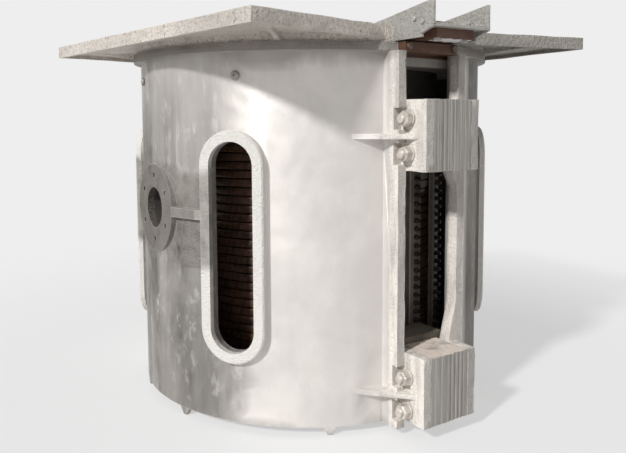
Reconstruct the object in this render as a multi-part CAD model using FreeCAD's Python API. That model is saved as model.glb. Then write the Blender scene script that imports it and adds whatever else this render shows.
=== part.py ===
import FreeCAD, Part
import math
import os

# Tilting coreless induction melting furnace body: a cast aluminium shell in two halves that
# are held apart by insulating packs, with the coil, its posts and the crucible inside.
# Millimetres. Z is up, the pour spout points along -Y, and the origin is on the shell's axis
# at the level of the feet.

V = FreeCAD.Vector
AXIS_Z = V(0, 0, 1)

# Crucible, lining and base
fit = 0.4
crucible_mouth_radius = 290.0
crucible_foot_radius = 250.0
crucible_floor = 300.0
crucible_corner = 60.0
lining_wall = 80.0
sleeve_thickness = 7.6
grout_thickness = 13.2
base_board_thickness = 24.0
base_block_top = 147.0

# Coil, whose hexagonal section stands for the round tube
coil_loops = 24
coil_pitch = 25.0
coil_turn_gap = 1.0
coil_sides = 6
coil_bottom = 158.0
coil_lead_offset = 45.0
coil_lead_bend = 48.0
coil_lead_length = 48.0

# Posts that hold the coil
post_angles = (13.0, 33.0, 90.0, 147.0, 167.0)
post_width = 54.0
post_thickness = 17.0
post_clearance = 0.6
post_rise = 32.0
post_nut_flats = 22.0
post_nut_height = 14.0
post_nuts = 6
post_nut_turns = 4

# Shell
coil_to_shell = 146.0
shell_wall = 18.0
shell_height = 1000.0
foot_height = 24.0
collar_overhang = 22.0
collar_thickness = 24.0
ledge_width = 42.0
ledge_thickness = 22.0

# Joint between the two shell halves
joint_gap = 186.0
flange_thickness = 27.0
flange_reach = 47.0
flange_depth = 37.0
flange_root = 35.0

# Insulating packs, their ears and their studs
ear_thickness = 27.0
ear_reach = 122.0
pack_height = 186.0
pack_clearance = 0.4
pack_depth = 124.0
pack_boards = 6
pack_groove = 1.5
upper_pack_drop = 125.0
lower_pack_rise = 20.0
stud_diameter = 24.0
stud_spacing = 91.0
upper_stud_rise = 45.0
lower_stud_rise = 31.0
stud_reach = 59.0
washer_diameter = 44.0
washer_thickness = 5.0
nut_flats = 36.0
nut_height = 20.0
stud_tip = 9.0
notch_height = 56.0
notch_depth = 20.0
gusset_thickness = 14.0
gusset_reach = 90.0
gusset_angle = 21.8
web_above = 110.0
web_below = 52.0

# Windows in the shell
window_angles = (55.0, 125.0)
window_width = 130.0
window_height = 570.0
window_bottom = 197.0
window_rim = 30.0
window_proud = 20.0
rim_chamfer = 4.0

# Trunnion bosses
trunnion_share = 0.566
trunnion_proud = 3.0
trunnion_depth = 50.0
trunnion_diameter = 260.0
trunnion_bore = 120.0
trunnion_circle = 190.0
trunnion_hole = 17.5
trunnion_hole_depth = 32.0
trunnion_holes = 6
boss_rib_height = 28.0
boss_rib_proud = 14.0

# Deck
deck_gap = 13.0
deck_thickness = 24.0
deck_skirt = 36.0
deck_skirt_wall = 16.0
deck_spacer = 19.0
deck_front_reach = 5.0
deck_knee_x = 140.0
deck_front_corner_out = (20.0, 95.0)
deck_rear_corner_out = (153.0, -90.0)
deck_rear_reach = 77.0
deck_rib_reach = 18.0
deck_rib_width = 20.0
deck_web_thickness = 14.0
deck_web_reach = 138.0

# Spout
spout_reach = 150.0
cheek_outer = 100.0
cheek_thickness = 9.0
cheek_length = 330.0
cheek_rise = 49.0
cheek_nose = 17.0
cheek_heel_setback = 42.0
cheek_heel_rise = 15.0
floor_thickness = 8.0
weir_thickness = 10.0
weir_height = 29.0
spout_block_setback = 23.0
spout_block_width = 130.0
spout_block_thickness = 24.0
spout_block_lap = 4.0
spout_bolt_diameter = 12.0
spout_bolt_inset = 18.0
cheek_bolt_places = ((66.0, 8.0), (36.0, -2.0))

# Insulating blocks in the collar joint
collar_block_reach = 40.0
collar_block_depth = 55.0
collar_block_height = 28.0
collar_lap = 31.0
collar_lap_reach = 3.0
collar_bolt_diameter = 12.0

# Terminals and power bars at the back of the coil
terminal_width = 44.0
terminal_depth = 30.0
bar_width = 50.0
bar_thickness = 10.0
bar_reach = 150.0
upper_bar_drop = 89.0
lower_bar_rise = 114.0
bar_hole = 13.0
bar_hole_inset = 30.0
bar_hole_spacing = 40.0
nipple_diameter = 18.0
nipple_length = 34.0

# Top rings, top block and the filler behind the lower front pack
top_block_width = 50.0
ring_drop = 34.0
ring_thickness = 24.0
ring_clearance = 4.0
seal_thickness = 10.0
filler_width = 176.0
filler_setback = 4.0
filler_depth = 94.0
filler_top = 222.0

# Screws through the shell and the brackets behind them
screw_angles = (54.0, 100.0, 146.0)
screw_drop = 60.0
screw_diameter = 16.0
screw_head = 5.0
bracket_width = 60.0
bracket_depth = 30.0
bracket_thickness = 12.0

# Feet
foot_angles = (28.0, 75.0, 105.0, 152.0)
foot_length = 40.0
foot_width = 16.0
foot_tip = 14.0

# Radii that follow, from the lining out to the spout
lining_radius = crucible_mouth_radius + lining_wall
sleeve_radius = lining_radius + fit + sleeve_thickness
grout_radius = sleeve_radius + fit + grout_thickness
tube_radius = (coil_pitch - coil_turn_gap) / 2
coil_radius = grout_radius + fit + tube_radius
base_block_radius = coil_radius + tube_radius - ring_clearance
post_face = coil_radius + tube_radius + post_clearance
coil_lead_end = coil_radius + coil_lead_bend + coil_lead_length
shell_radius = coil_radius + coil_to_shell
inner_radius = shell_radius - shell_wall
board_radius = inner_radius - ring_clearance
top_block_radius = lining_radius + fit + top_block_width
collar_radius = shell_radius + collar_overhang
flange_front = shell_radius + flange_reach
flange_back = flange_front - flange_depth
ear_front = shell_radius + ear_reach
pack_back = ear_front - pack_depth
stud_line = shell_radius + stud_reach
window_face = shell_radius + window_proud
trunnion_face = shell_radius + trunnion_proud
boss_rib_face = shell_radius + boss_rib_proud
deck_front = shell_radius + deck_front_reach
deck_rear = shell_radius + deck_rear_reach
deck_rib_radius = shell_radius + deck_rib_reach
deck_hole_radius = top_block_radius + fit
spout_front = shell_radius + spout_reach
collar_block_front = shell_radius + collar_block_reach
collar_block_back = collar_block_front - collar_block_depth
collar_lap_face = shell_radius + collar_lap_reach
bar_end = shell_radius + bar_reach

# Levels that follow
base = foot_height
half_gap = joint_gap / 2
base_board_top = base + ledge_thickness + base_board_thickness
lining_bottom = base + base_block_top
coil_low = base + coil_bottom
coil_high = coil_low + coil_pitch * coil_loops
post_top = coil_high + post_rise
trunnion_level = base + trunnion_share * shell_height
screw_level = base + shell_height - screw_drop
ring_bottom = base + shell_height - ring_drop
collar_bottom = base + shell_height
collar_top = collar_bottom + collar_thickness
deck_underside = collar_top + deck_spacer
deck_top = deck_underside + deck_thickness
skirt_bottom = deck_top - deck_skirt
spout_block_bottom = skirt_bottom - spout_block_lap
spout_floor_bottom = spout_block_bottom + spout_block_thickness
spout_floor_top = spout_floor_bottom + floor_thickness
pack_levels = {"upper": collar_bottom - upper_pack_drop - pack_height, "lower": base + lower_pack_rise}
stud_rises = {"upper": upper_stud_rise, "lower": lower_stud_rise}


def polar(radius, angle, z=0.0):
    "A point at an angle from the front, -Y, turning towards +X."
    a = math.radians(angle)
    return V(radius * math.sin(a), -radius * math.cos(a), z)


def box(x0, x1, y0, y1, z0, z1):
    return Part.makeBox(x1 - x0, y1 - y0, z1 - z0, V(x0, y0, z0))


def ring(outer, inner, z0, z1):
    return disc(outer, z0, z1).cut(disc(inner, z0, z1))


def disc(radius, z0, z1):
    return Part.makeCylinder(radius, z1 - z0, V(0, 0, z0))


def rod(start, direction, diameter, length):
    return Part.makeCylinder(diameter / 2, length, start, direction)


def prism(points, z0, z1):
    "A plan outline of (x, y) points between two levels."
    corners = [V(x, y, z0) for x, y in points]
    return Part.Face(Part.makePolygon(corners + corners[:1])).extrude(V(0, 0, z1 - z0))


def side_prism(points, x0, x1):
    "A side outline of (y, z) points between two planes across X."
    corners = [V(x0, y, z) for y, z in points]
    return Part.Face(Part.makePolygon(corners + corners[:1])).extrude(V(x1 - x0, 0, 0))


def front_prism(points, y0, y1):
    "A front outline of (x, z) points between two planes across Y."
    corners = [V(x, y0, z) for x, z in points]
    return Part.Face(Part.makePolygon(corners + corners[:1])).extrude(V(0, y1 - y0, 0))


def polygon(centre, direction, radius, sides):
    "A closed outline of equal sides across any direction, by the radius of its corners."
    turn = FreeCAD.Rotation(AXIS_Z, direction)
    corners = []
    for i in range(sides):
        a = 2 * math.pi * i / sides
        corners.append(centre + turn.multVec(V(radius * math.cos(a), radius * math.sin(a), 0)))
    return Part.makePolygon(corners + corners[:1])


def bar(centre, direction, radius, length, sides):
    return Part.Face(polygon(centre, direction, radius, sides)).extrude(direction * length)


def hexagon(centre, direction, flats, height):
    return bar(centre, direction, flats / math.sqrt(3), height, 6)


def turned(shape, angle):
    "A copy turned about the shell's axis."
    copy = shape.copy()
    copy.rotate(V(0, 0, 0), AXIS_Z, angle)
    return copy


def mirrored(shape):
    "The other half's copy, mirrored across the pour plane."
    return shape.mirror(V(0, 0, 0), V(1, 0, 0))


def both_ends(shape):
    "A front feature and its mirror image at the back."
    return [shape, shape.mirror(V(0, 0, 0), V(0, 1, 0))]


def fused(shapes):
    return shapes[0].multiFuse(shapes[1:]).removeSplitter()


def stud_levels(place):
    low = pack_levels[place] + stud_rises[place]
    return [low, low + stud_spacing]


def all_stud_levels():
    return stud_levels("upper") + stud_levels("lower")


def stadium(width, height, bottom, near, far):
    "A slot outline that stands upright, from one distance ahead of the axis to another."
    r = width / 2
    low = bottom + r
    high = bottom + height - r
    sides = [
        Part.makeLine(V(r, -near, low), V(r, -near, high)),
        Part.Arc(V(r, -near, high), V(0, -near, high + r), V(-r, -near, high)).toShape(),
        Part.makeLine(V(-r, -near, high), V(-r, -near, low)),
        Part.Arc(V(-r, -near, low), V(0, -near, low - r), V(r, -near, low)).toShape(),
    ]
    return Part.Face(Part.Wire(sides)).extrude(V(0, near - far, 0))


def shell_skin():
    "Wall, collar and bottom ledge of one half."
    cut_x = half_gap + flange_root
    keep = box(cut_x, shell_radius + 1, -shell_radius - 1, shell_radius + 1, base, collar_bottom)
    wall = ring(shell_radius, inner_radius, base, collar_bottom)
    ledge = ring(inner_radius + 1, inner_radius - ledge_width, base, base + ledge_thickness)
    collar = ring(collar_radius, inner_radius, collar_bottom, collar_top)
    collar_keep = box(half_gap, collar_radius + 1, -collar_radius - 1, collar_radius + 1,
                      collar_bottom, collar_top)
    laps = both_ends(box(half_gap - collar_lap, half_gap, -collar_lap_face, -collar_block_back,
                         collar_bottom, collar_top))
    return [fused([wall, ledge]).common(keep), collar.common(collar_keep)] + laps


def joint_flange():
    "The thick upright flange beside the front joint, with its tapered root."
    root_x = half_gap + flange_root
    outer_x = half_gap + flange_thickness
    outline = [
        (half_gap, -flange_front),
        (outer_x, -flange_front),
        (outer_x, -math.sqrt(shell_radius ** 2 - outer_x ** 2)),
        (root_x, -math.sqrt(shell_radius ** 2 - root_x ** 2)),
        (root_x, -math.sqrt(inner_radius ** 2 - root_x ** 2)),
        (half_gap, -flange_back),
    ]
    flange = prism(outline, base, collar_bottom)
    for z in all_stud_levels():
        notch = box(half_gap, outer_x + 1, -flange_front - 1, notch_depth - flange_front,
                    z - notch_height / 2, z + notch_height / 2)
        flange = flange.cut(notch)
    return flange


def pack_ears():
    "The two ears beside the front joint, with the gussets that brace them."
    inner_x = half_gap - ear_thickness
    pieces = []
    for place, z in pack_levels.items():
        pieces.append(box(inner_x, half_gap, -ear_front, -flange_back, z, z + pack_height))
        pieces.append(ear_gusset(sum(stud_levels(place)) / 2))
    return pieces


def ear_webs():
    "Webs between the flange and its ears, which only one side of a joint has."
    inner_x = half_gap - ear_thickness
    low = pack_levels["upper"]
    top = pack_levels["lower"] + pack_height
    below = [(half_gap, low), (inner_x, low), (half_gap, low - web_below)]
    above = [(half_gap, top), (half_gap, top + web_above), (inner_x, top)]
    return [front_prism(web, -flange_front, -flange_back) for web in (below, above)]


def ear_gusset(level):
    "A flat rib from the shell out to an ear, between its two studs."
    middle = shell_radius - shell_wall / 2
    outer_x = half_gap + flange_thickness
    tip = polar(shell_radius, gusset_angle)
    root = polar(middle, gusset_angle)
    outline = [
        (half_gap, -shell_radius - gusset_reach),
        (tip.x, tip.y),
        (root.x, root.y),
        (outer_x, -math.sqrt(middle ** 2 - outer_x ** 2)),
        (half_gap, -(flange_back + flange_front) / 2),
    ]
    return prism(outline, level - gusset_thickness / 2, level + gusset_thickness / 2)


def window_rim_body(angle):
    outer = stadium(window_width + 2 * window_rim, window_height + 2 * window_rim,
                    base + window_bottom - window_rim, inner_radius + shell_wall / 3, window_face)
    front = [e for e in outer.Edges if all(abs(v.Y + window_face) < 0.01 for v in e.Vertexes)]
    return turned(outer.makeChamfer(rim_chamfer, front), angle)


def window_opening(angle):
    hole = stadium(window_width, window_height, base + window_bottom,
                   inner_radius - shell_wall, window_face + 10)
    return turned(hole, angle)


def trunnion_boss():
    "The boss that a trunnion bolts to, with the ribs that tie it to the windows beside it."
    z = trunnion_level
    boss = rod(V(trunnion_face - trunnion_depth, 0, z), V(1, 0, 0), trunnion_diameter, trunnion_depth)
    reach = math.degrees(math.asin(trunnion_diameter / 2 / shell_radius))
    start = window_angles[0] + math.degrees(math.asin((window_width / 2 + window_rim) / shell_radius))
    middle = (start + 90 - reach) / 2
    half = math.radians((90 - reach - start) / 2) * boss_rib_face + 6
    rib = box(-half, half, -boss_rib_face, -inner_radius - shell_wall / 3,
              z - boss_rib_height / 2, z + boss_rib_height / 2)
    return [boss, turned(rib, middle), turned(rib, 180 - middle)]


def trunnion_cuts():
    z = trunnion_level
    cuts = [rod(V(inner_radius - trunnion_depth, 0, z), V(1, 0, 0), trunnion_bore, 2 * trunnion_depth)]
    for i in range(trunnion_holes):
        a = math.radians(270 + i * 360 / trunnion_holes)
        y = trunnion_circle / 2 * math.cos(a)
        h = z + trunnion_circle / 2 * math.sin(a)
        start = V(trunnion_face - trunnion_hole_depth, y, h)
        cuts.append(rod(start, V(1, 0, 0), trunnion_hole, trunnion_hole_depth + 1))
    return cuts


def shell_screw_holes():
    return [turned(rod(V(0, -shell_radius - 1, screw_level), V(0, 1, 0),
                       screw_diameter + fit, shell_wall + 2), a) for a in screw_angles]


def stud_holes(levels, x0, x1):
    "Holes for pack studs at the front joint, between two planes across X."
    return [rod(V(x0, -stud_line, z), V(1, 0, 0), stud_diameter + 1, x1 - x0) for z in levels]


def collar_bolt_x():
    return half_gap - collar_lap / 2


def collar_bolt_level():
    return collar_bottom + collar_thickness / 2


def shell_half():
    "One cast half, on the +X side."
    body = shell_skin()
    body += both_ends(joint_flange())
    for piece in pack_ears():
        body += both_ends(piece)
    body += [window_rim_body(a) for a in window_angles]
    body += trunnion_boss()
    shell = fused(body)
    cuts = [window_opening(a) for a in window_angles] + trunnion_cuts() + shell_screw_holes()
    for hole in stud_holes(all_stud_levels(), half_gap - ear_thickness - 1, half_gap + 1):
        cuts += both_ends(hole)
    lap_hole = rod(V(collar_bolt_x(), -collar_lap_face - 1, collar_bolt_level()), V(0, 1, 0),
                   collar_bolt_diameter + 1, collar_lap_face - collar_block_back + 2)
    cuts += both_ends(lap_hole)
    return shell.cut(cuts)


def pack(place):
    "The varnished stack of insulating boards between the ears, grooved where its boards meet."
    z = pack_levels[place]
    half = half_gap - ear_thickness - pack_clearance
    stack = box(-half, half, -ear_front, -pack_back, z, z + pack_height)
    cuts = stud_holes(stud_levels(place), -half_gap, half_gap)
    for i in range(1, pack_boards):
        x = -half + i * 2 * half / pack_boards
        cuts.append(box(x - pack_groove / 2, x + pack_groove / 2,
                        -ear_front, pack_groove - ear_front, z, z + pack_height))
    return stack.cut(cuts)


def pack_studs():
    "Studs through the front packs, each one piece with its two washers and nuts."
    end = half_gap + washer_thickness + nut_height + stud_tip
    studs = []
    for z in all_stud_levels():
        pieces = [bar(V(-end, -stud_line, z), V(1, 0, 0), stud_diameter / 2, 2 * end, 12)]
        for side in (-1, 1):
            out = V(side, 0, 0)
            seat = V(side * half_gap, -stud_line, z)
            pieces.append(bar(seat, out, washer_diameter / 2, washer_thickness, 16))
            pieces.append(hexagon(seat + out * washer_thickness, out, nut_flats, nut_height))
        studs.append(fused(pieces))
    return studs


def collar_block():
    "The insulating block that fills the front gap in the collar, lapped over its two ends."
    lap_x = half_gap - collar_lap - fit
    end_x = half_gap - fit
    lap_y = -(collar_lap_face + fit)
    outline = [
        (-end_x, -collar_block_front), (end_x, -collar_block_front), (end_x, lap_y),
        (lap_x, lap_y), (lap_x, -collar_block_back), (-lap_x, -collar_block_back),
        (-lap_x, lap_y), (-end_x, lap_y),
    ]
    block = prism(outline, collar_top - collar_block_height, collar_top)
    for side in (-1, 1):
        block = block.cut(rod(V(side * collar_bolt_x(), -collar_block_front - 1, collar_bolt_level()),
                              V(0, 1, 0), collar_bolt_diameter + 1, collar_block_front))
    return block


def collar_bolts():
    bolts = []
    length = collar_block_front - collar_block_back
    for side in (-1, 1):
        seat = V(side * collar_bolt_x(), -collar_block_front, collar_bolt_level())
        head = hexagon(seat, V(0, -1, 0), collar_bolt_diameter * 1.5, collar_bolt_diameter * 0.6)
        bolts.append(head.fuse(bar(seat, V(0, 1, 0), collar_bolt_diameter / 2, length, 12)))
    return bolts


def deck_corners():
    "The front and rear corners of the right-hand wing of the deck, as (x, y)."
    front = (shell_radius + deck_front_corner_out[0], -shell_radius - deck_front_corner_out[1])
    rear = (shell_radius + deck_rear_corner_out[0], shell_radius + deck_rear_corner_out[1])
    return [front, rear]


def deck_outline(inset=0.0):
    half = deck_gap / 2
    corners = deck_corners()
    points = [(half, -deck_front), (deck_knee_x, -deck_front)] + corners + [(half, deck_rear)]
    corners = [V(x, y, 0) for x, y in points]
    face = Part.Face(Part.makePolygon(corners + corners[:1]))
    if inset:
        face = face.makeOffset2D(-inset, 2, False, False, False)
    return face


def deck_half():
    "One cast deck plate, with its edge skirt, the rib that stands on the collar and webs."
    plan = deck_outline()
    plate = plan.extrude(V(0, 0, deck_top - deck_underside))
    plate.translate(V(0, 0, deck_underside))
    skirt = plan.extrude(V(0, 0, deck_underside - skirt_bottom))
    skirt = skirt.cut(deck_outline(deck_skirt_wall).extrude(V(0, 0, deck_underside - skirt_bottom)))
    skirt.translate(V(0, 0, skirt_bottom))
    rib = ring(deck_rib_radius, deck_rib_radius - deck_rib_width, collar_top, deck_underside)
    under = plan.extrude(V(0, 0, deck_underside - collar_top))
    under.translate(V(0, 0, collar_top))
    body = [plate, skirt, rib.common(under)]
    body += [corner_web(x, -y) for x, y in deck_corners()]
    deck = fused(body)
    return deck.cut(disc(deck_hole_radius, skirt_bottom - 1, deck_top + 1))


def corner_web(x, reach):
    "A triangular web under the plate, from the round rib out towards a corner."
    angle = math.degrees(math.atan2(x, reach))
    root = deck_rib_radius - deck_rib_width / 2
    outline = [
        (-root, deck_underside), (-deck_rib_radius - deck_web_reach, deck_underside),
        (-deck_rib_radius, collar_top), (-root, collar_top),
    ]
    return turned(side_prism(outline, -deck_web_thickness / 2, deck_web_thickness / 2), angle)


def joint_strip(y0, y1):
    "Insulating strip between the deck plates."
    half = deck_gap / 2
    return box(-half, half, y0, y1, skirt_bottom, deck_top)


def spout_cheek():
    "The tapered side plate of the spout on the +X side, notched over the deck's edge."
    heel = -spout_front + cheek_heel_setback
    outline = [
        (-spout_front + cheek_length, deck_top), (-spout_front, deck_top + cheek_rise),
        (-spout_front, deck_top - cheek_nose), (heel, spout_floor_bottom - cheek_heel_rise),
        (heel, spout_block_bottom), (-deck_front, spout_block_bottom), (-deck_front, deck_top),
    ]
    cheek = side_prism(outline, cheek_outer - cheek_thickness, cheek_outer)
    return cheek.cut(cheek_bolt_holes())


def cheek_bolt_places_3d():
    return [V(cheek_outer, y - spout_front, deck_top + rise) for y, rise in cheek_bolt_places]


def cheek_bolt_holes():
    return [rod(p + V(1, 0, 0), V(-1, 0, 0), spout_bolt_diameter * 0.75 + fit, cheek_thickness + 2)
            for p in cheek_bolt_places_3d()]


def spout_floor():
    half = cheek_outer - cheek_thickness
    plate = box(-half, half, -spout_front, -deck_front, spout_floor_bottom, spout_floor_top)
    return plate.cut(spout_bolt_holes())


def spout_bolt_spots():
    half = spout_block_width / 2 - spout_bolt_inset
    y = -spout_front + spout_block_setback + spout_bolt_inset
    return [(-half, y), (half, y)]


def spout_bolt_holes():
    z = spout_block_bottom - 1
    length = spout_floor_top + 1 - z
    return [rod(V(x, y, z), AXIS_Z, spout_bolt_diameter + 1, length) for x, y in spout_bolt_spots()]


def spout_weir():
    half = cheek_outer - cheek_thickness
    return box(-half, half, -deck_front - weir_thickness, -deck_front,
               spout_floor_top, spout_floor_top + weir_height)


def spout_block():
    half = spout_block_width / 2
    block = box(-half, half, -spout_front + spout_block_setback, -deck_front,
                spout_block_bottom, spout_floor_bottom)
    return block.cut(spout_bolt_holes())


def spout_bolts():
    "Two bolts up through the block and floor, and two small ones in each cheek."
    d = spout_bolt_diameter
    length = spout_floor_top - spout_block_bottom
    bolts = []
    for x, y in spout_bolt_spots():
        head = hexagon(V(x, y, spout_block_bottom), V(0, 0, -1), d * 1.5, d * 0.6)
        shank = bar(V(x, y, spout_block_bottom), AXIS_Z, d / 2, length, 12)
        nut = hexagon(V(x, y, spout_floor_top), AXIS_Z, d * 1.5, d * 0.8)
        bolts.append(fused([head, shank, nut]))
    for place in cheek_bolt_places_3d():
        inner = place - V(cheek_thickness, 0, 0)
        heads = [hexagon(place, V(1, 0, 0), d, d * 0.4), hexagon(inner, V(-1, 0, 0), d, d * 0.4)]
        bolt = fused(heads + [bar(inner, V(1, 0, 0), d * 0.375, cheek_thickness, 12)])
        bolts += [bolt, mirrored(bolt)]
    return bolts


def biarc(p0, t0, p1, t1):
    "Two arcs that leave p0 along t0 and reach p1 along t1, with one tangent where they meet."
    chord = p1 - p0
    total = t0 + t1
    a = 2 * (1 - t0.dot(t1))
    b = 2 * chord.dot(total)
    c = -chord.dot(chord)
    d = (-b + math.sqrt(b * b - 4 * a * c)) / (2 * a)
    q0 = p0 + t0 * d
    q1 = p1 - t1 * d
    joint = (q0 + q1) * 0.5
    return [arc_from(p0, t0, joint), arc_from(p1, t1 * -1, joint)]


def arc_from(start, tangent, end):
    "The arc through two points that is tangent to a direction at the first."
    chord = end - start
    along = V(chord).normalize()
    half_turn = math.acos(max(-1.0, min(1.0, along.dot(tangent))))
    side = tangent - along * along.dot(tangent)
    side.normalize()
    bulge = chord.Length / 2 * math.tan(half_turn / 2)
    middle = (start + end) * 0.5 + side * bulge
    return Part.Arc(start, middle, end)


def coil_rise(angle, start, end):
    return coil_low + (coil_high - coil_low) * (angle - start) / (end - start)


def coil_path():
    "Arcs of the whole coil: lead in, 24 loops and lead out, with straight runs at the ends."
    tilt = math.degrees(math.asin(coil_lead_offset / coil_radius))
    start = 180 + tilt
    end = 180 - tilt + 360 * coil_loops
    steps = 2 * coil_loops
    places = []
    for i in range(steps + 1):
        angle = start + (end - start) * i / steps
        a = math.radians(angle)
        place = polar(coil_radius, angle, coil_rise(angle, start, end))
        slope = coil_pitch / (2 * math.pi * coil_radius)
        along = V(math.cos(a), math.sin(a), slope).normalize()
        places.append((place, along))
    low = places[0][0].z
    high = places[-1][0].z
    edges = []
    lead_in = V(0, coil_radius + coil_lead_bend, low)
    lead_out = V(0, coil_radius + coil_lead_bend, high)
    edges.append(Part.LineSegment(V(0, coil_lead_end, low), lead_in))
    edges += biarc(lead_in, V(0, -1, 0), *places[0])
    for one, two in zip(places, places[1:]):
        edges += biarc(one[0], one[1], two[0], two[1])
    edges += biarc(places[-1][0], places[-1][1], lead_out, V(0, 1, 0))
    edges.append(Part.LineSegment(lead_out, V(0, coil_lead_end, high)))
    return edges


def coil_least_gap(edges):
    "The smallest clear distance between neighbouring turns, measured on points of the path."
    points = []
    for edge in edges:
        points += edge.toShape().discretize(9)[:-1]
    run = [0.0]
    for p, q in zip(points, points[1:]):
        run.append(run[-1] + p.distanceToPoint(q))
    half_loop = math.pi * coil_radius
    least = coil_radius
    for i, p in enumerate(points):
        for j in range(i + 1, len(points)):
            if run[j] - run[i] > half_loop and abs(points[j].z - p.z) < 2 * coil_pitch:
                least = min(least, p.distanceToPoint(points[j]))
    return least - 2 * tube_radius


def induction_coil():
    edges = coil_path()
    print("least gap of the coil to itself, mm:", round(coil_least_gap(edges), 2))
    path = Part.Wire([e.toShape() for e in edges])
    sweep = Part.BRepOffsetAPI.MakePipeShell(path)
    sweep.add(polygon(edges[0].StartPoint, V(0, -1, 0), tube_radius, coil_sides))
    sweep.build()
    sweep.makeSolid()
    return sweep.shape()


def coil_post(angle):
    post = box(-post_width / 2, post_width / 2, -post_face - post_thickness, -post_face,
               base_board_top, post_top)
    return turned(post, angle)


def post_nut_set():
    nuts = []
    seat = post_face + post_thickness
    for angle in signed(post_angles):
        for i in range(post_nuts):
            z = coil_low + coil_pitch * (1 + i * post_nut_turns)
            nut = hexagon(V(0, -seat, z), V(0, -1, 0), post_nut_flats, post_nut_height)
            nuts.append(turned(nut, angle))
    return nuts


def terminal_block(level):
    half = terminal_width / 2
    return box(-half, half, coil_lead_end, coil_lead_end + terminal_depth, level - half, level + half)


def terminal_bar(end_level, flag):
    "A bent copper bar from a terminal block to a flag that points out at the back."
    y = coil_lead_end + terminal_depth
    half = bar_width / 2
    inner = flag - math.copysign(bar_thickness, flag - end_level)
    outline = [
        (y, end_level), (y, flag), (bar_end, flag), (bar_end, inner),
        (y + bar_thickness, inner), (y + bar_thickness, end_level),
    ]
    flat = side_prism(outline, -half, half)
    for inset in (bar_hole_inset, bar_hole_inset + bar_hole_spacing):
        flat = flat.cut(rod(V(0, bar_end - inset, min(flag, inner) - 1), AXIS_Z,
                            bar_hole, bar_thickness + 2))
    return flat


def nipple(level, side):
    "A brass hose nipple on the side of a terminal block."
    out = V(side, 0, 0)
    seat = V(side * terminal_width / 2, coil_lead_end + terminal_depth / 2, level)
    flange = hexagon(seat, out, nipple_diameter * 1.3, nipple_length * 0.3)
    return flange.fuse(bar(seat, out, nipple_diameter / 2, nipple_length, 16))


def lining():
    "The rammed crucible, a thick cup that widens upwards, with a bevelled corner at its floor."
    floor = base + crucible_floor
    taper = (crucible_mouth_radius - crucible_foot_radius) / (deck_top - floor)
    profile = [
        (0, lining_bottom), (lining_radius, lining_bottom), (lining_radius, deck_top),
        (crucible_mouth_radius, deck_top),
        (crucible_foot_radius + taper * crucible_corner, floor + crucible_corner),
        (crucible_foot_radius - crucible_corner, floor), (0, floor),
    ]
    corners = [V(x, 0, z) for x, z in profile]
    return Part.Face(Part.makePolygon(corners + corners[:1])).revolve(V(0, 0, 0), AXIS_Z, 360)


def shell_screw(angle):
    "A button-headed screw through the shell into its bracket."
    seat = V(0, -shell_radius, screw_level)
    shank = bar(seat, V(0, 1, 0), screw_diameter / 2, shell_wall + bracket_thickness, 12)
    head = bar(seat, V(0, -1, 0), screw_diameter * 0.75, screw_head, 16)
    return turned(head.fuse(shank), angle)


def ring_bracket(angle):
    "An angle bracket inside the shell that carries the top ring."
    half = bracket_width / 2
    out = math.sqrt(inner_radius ** 2 - half ** 2) - fit
    low = screw_level - bracket_width / 2
    outline = [
        (-out, low), (-out, ring_bottom), (bracket_depth - out, ring_bottom),
        (bracket_depth - out, ring_bottom - bracket_thickness),
        (bracket_thickness - out, ring_bottom - bracket_thickness), (bracket_thickness - out, low),
    ]
    hole = bar(V(0, -inner_radius, screw_level), V(0, 1, 0), screw_diameter / 2 + fit,
               bracket_depth, 12)
    return turned(side_prism(outline, -half, half).cut(hole), angle)


def foot(angle):
    "A tapered lug under the shell's rim."
    middle = shell_radius - shell_wall / 2
    rings = []
    for z, length, width in ((0.0, foot_tip, foot_tip), (base, foot_length, foot_width)):
        corners = [V(x, y - middle, z) for x, y in (
            (-length / 2, -width / 2), (length / 2, -width / 2),
            (length / 2, width / 2), (-length / 2, width / 2))]
        rings.append(Part.makePolygon(corners + corners[:1]))
    return turned(Part.makeLoft(rings, True, True), angle)


def signed(angles):
    return [s * a for a in angles for s in (-1, 1)]


def rear(shapes):
    "The same parts at the back joint, turned half a turn."
    return [turned(s, 180) for s in shapes]


def export(name, shapes):
    shape = shapes[0] if len(shapes) == 1 else Part.makeCompound(shapes)
    if not shape.isValid():
        print("not valid:", name)
    shape.exportStep("parts/" + name + ".step")


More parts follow.
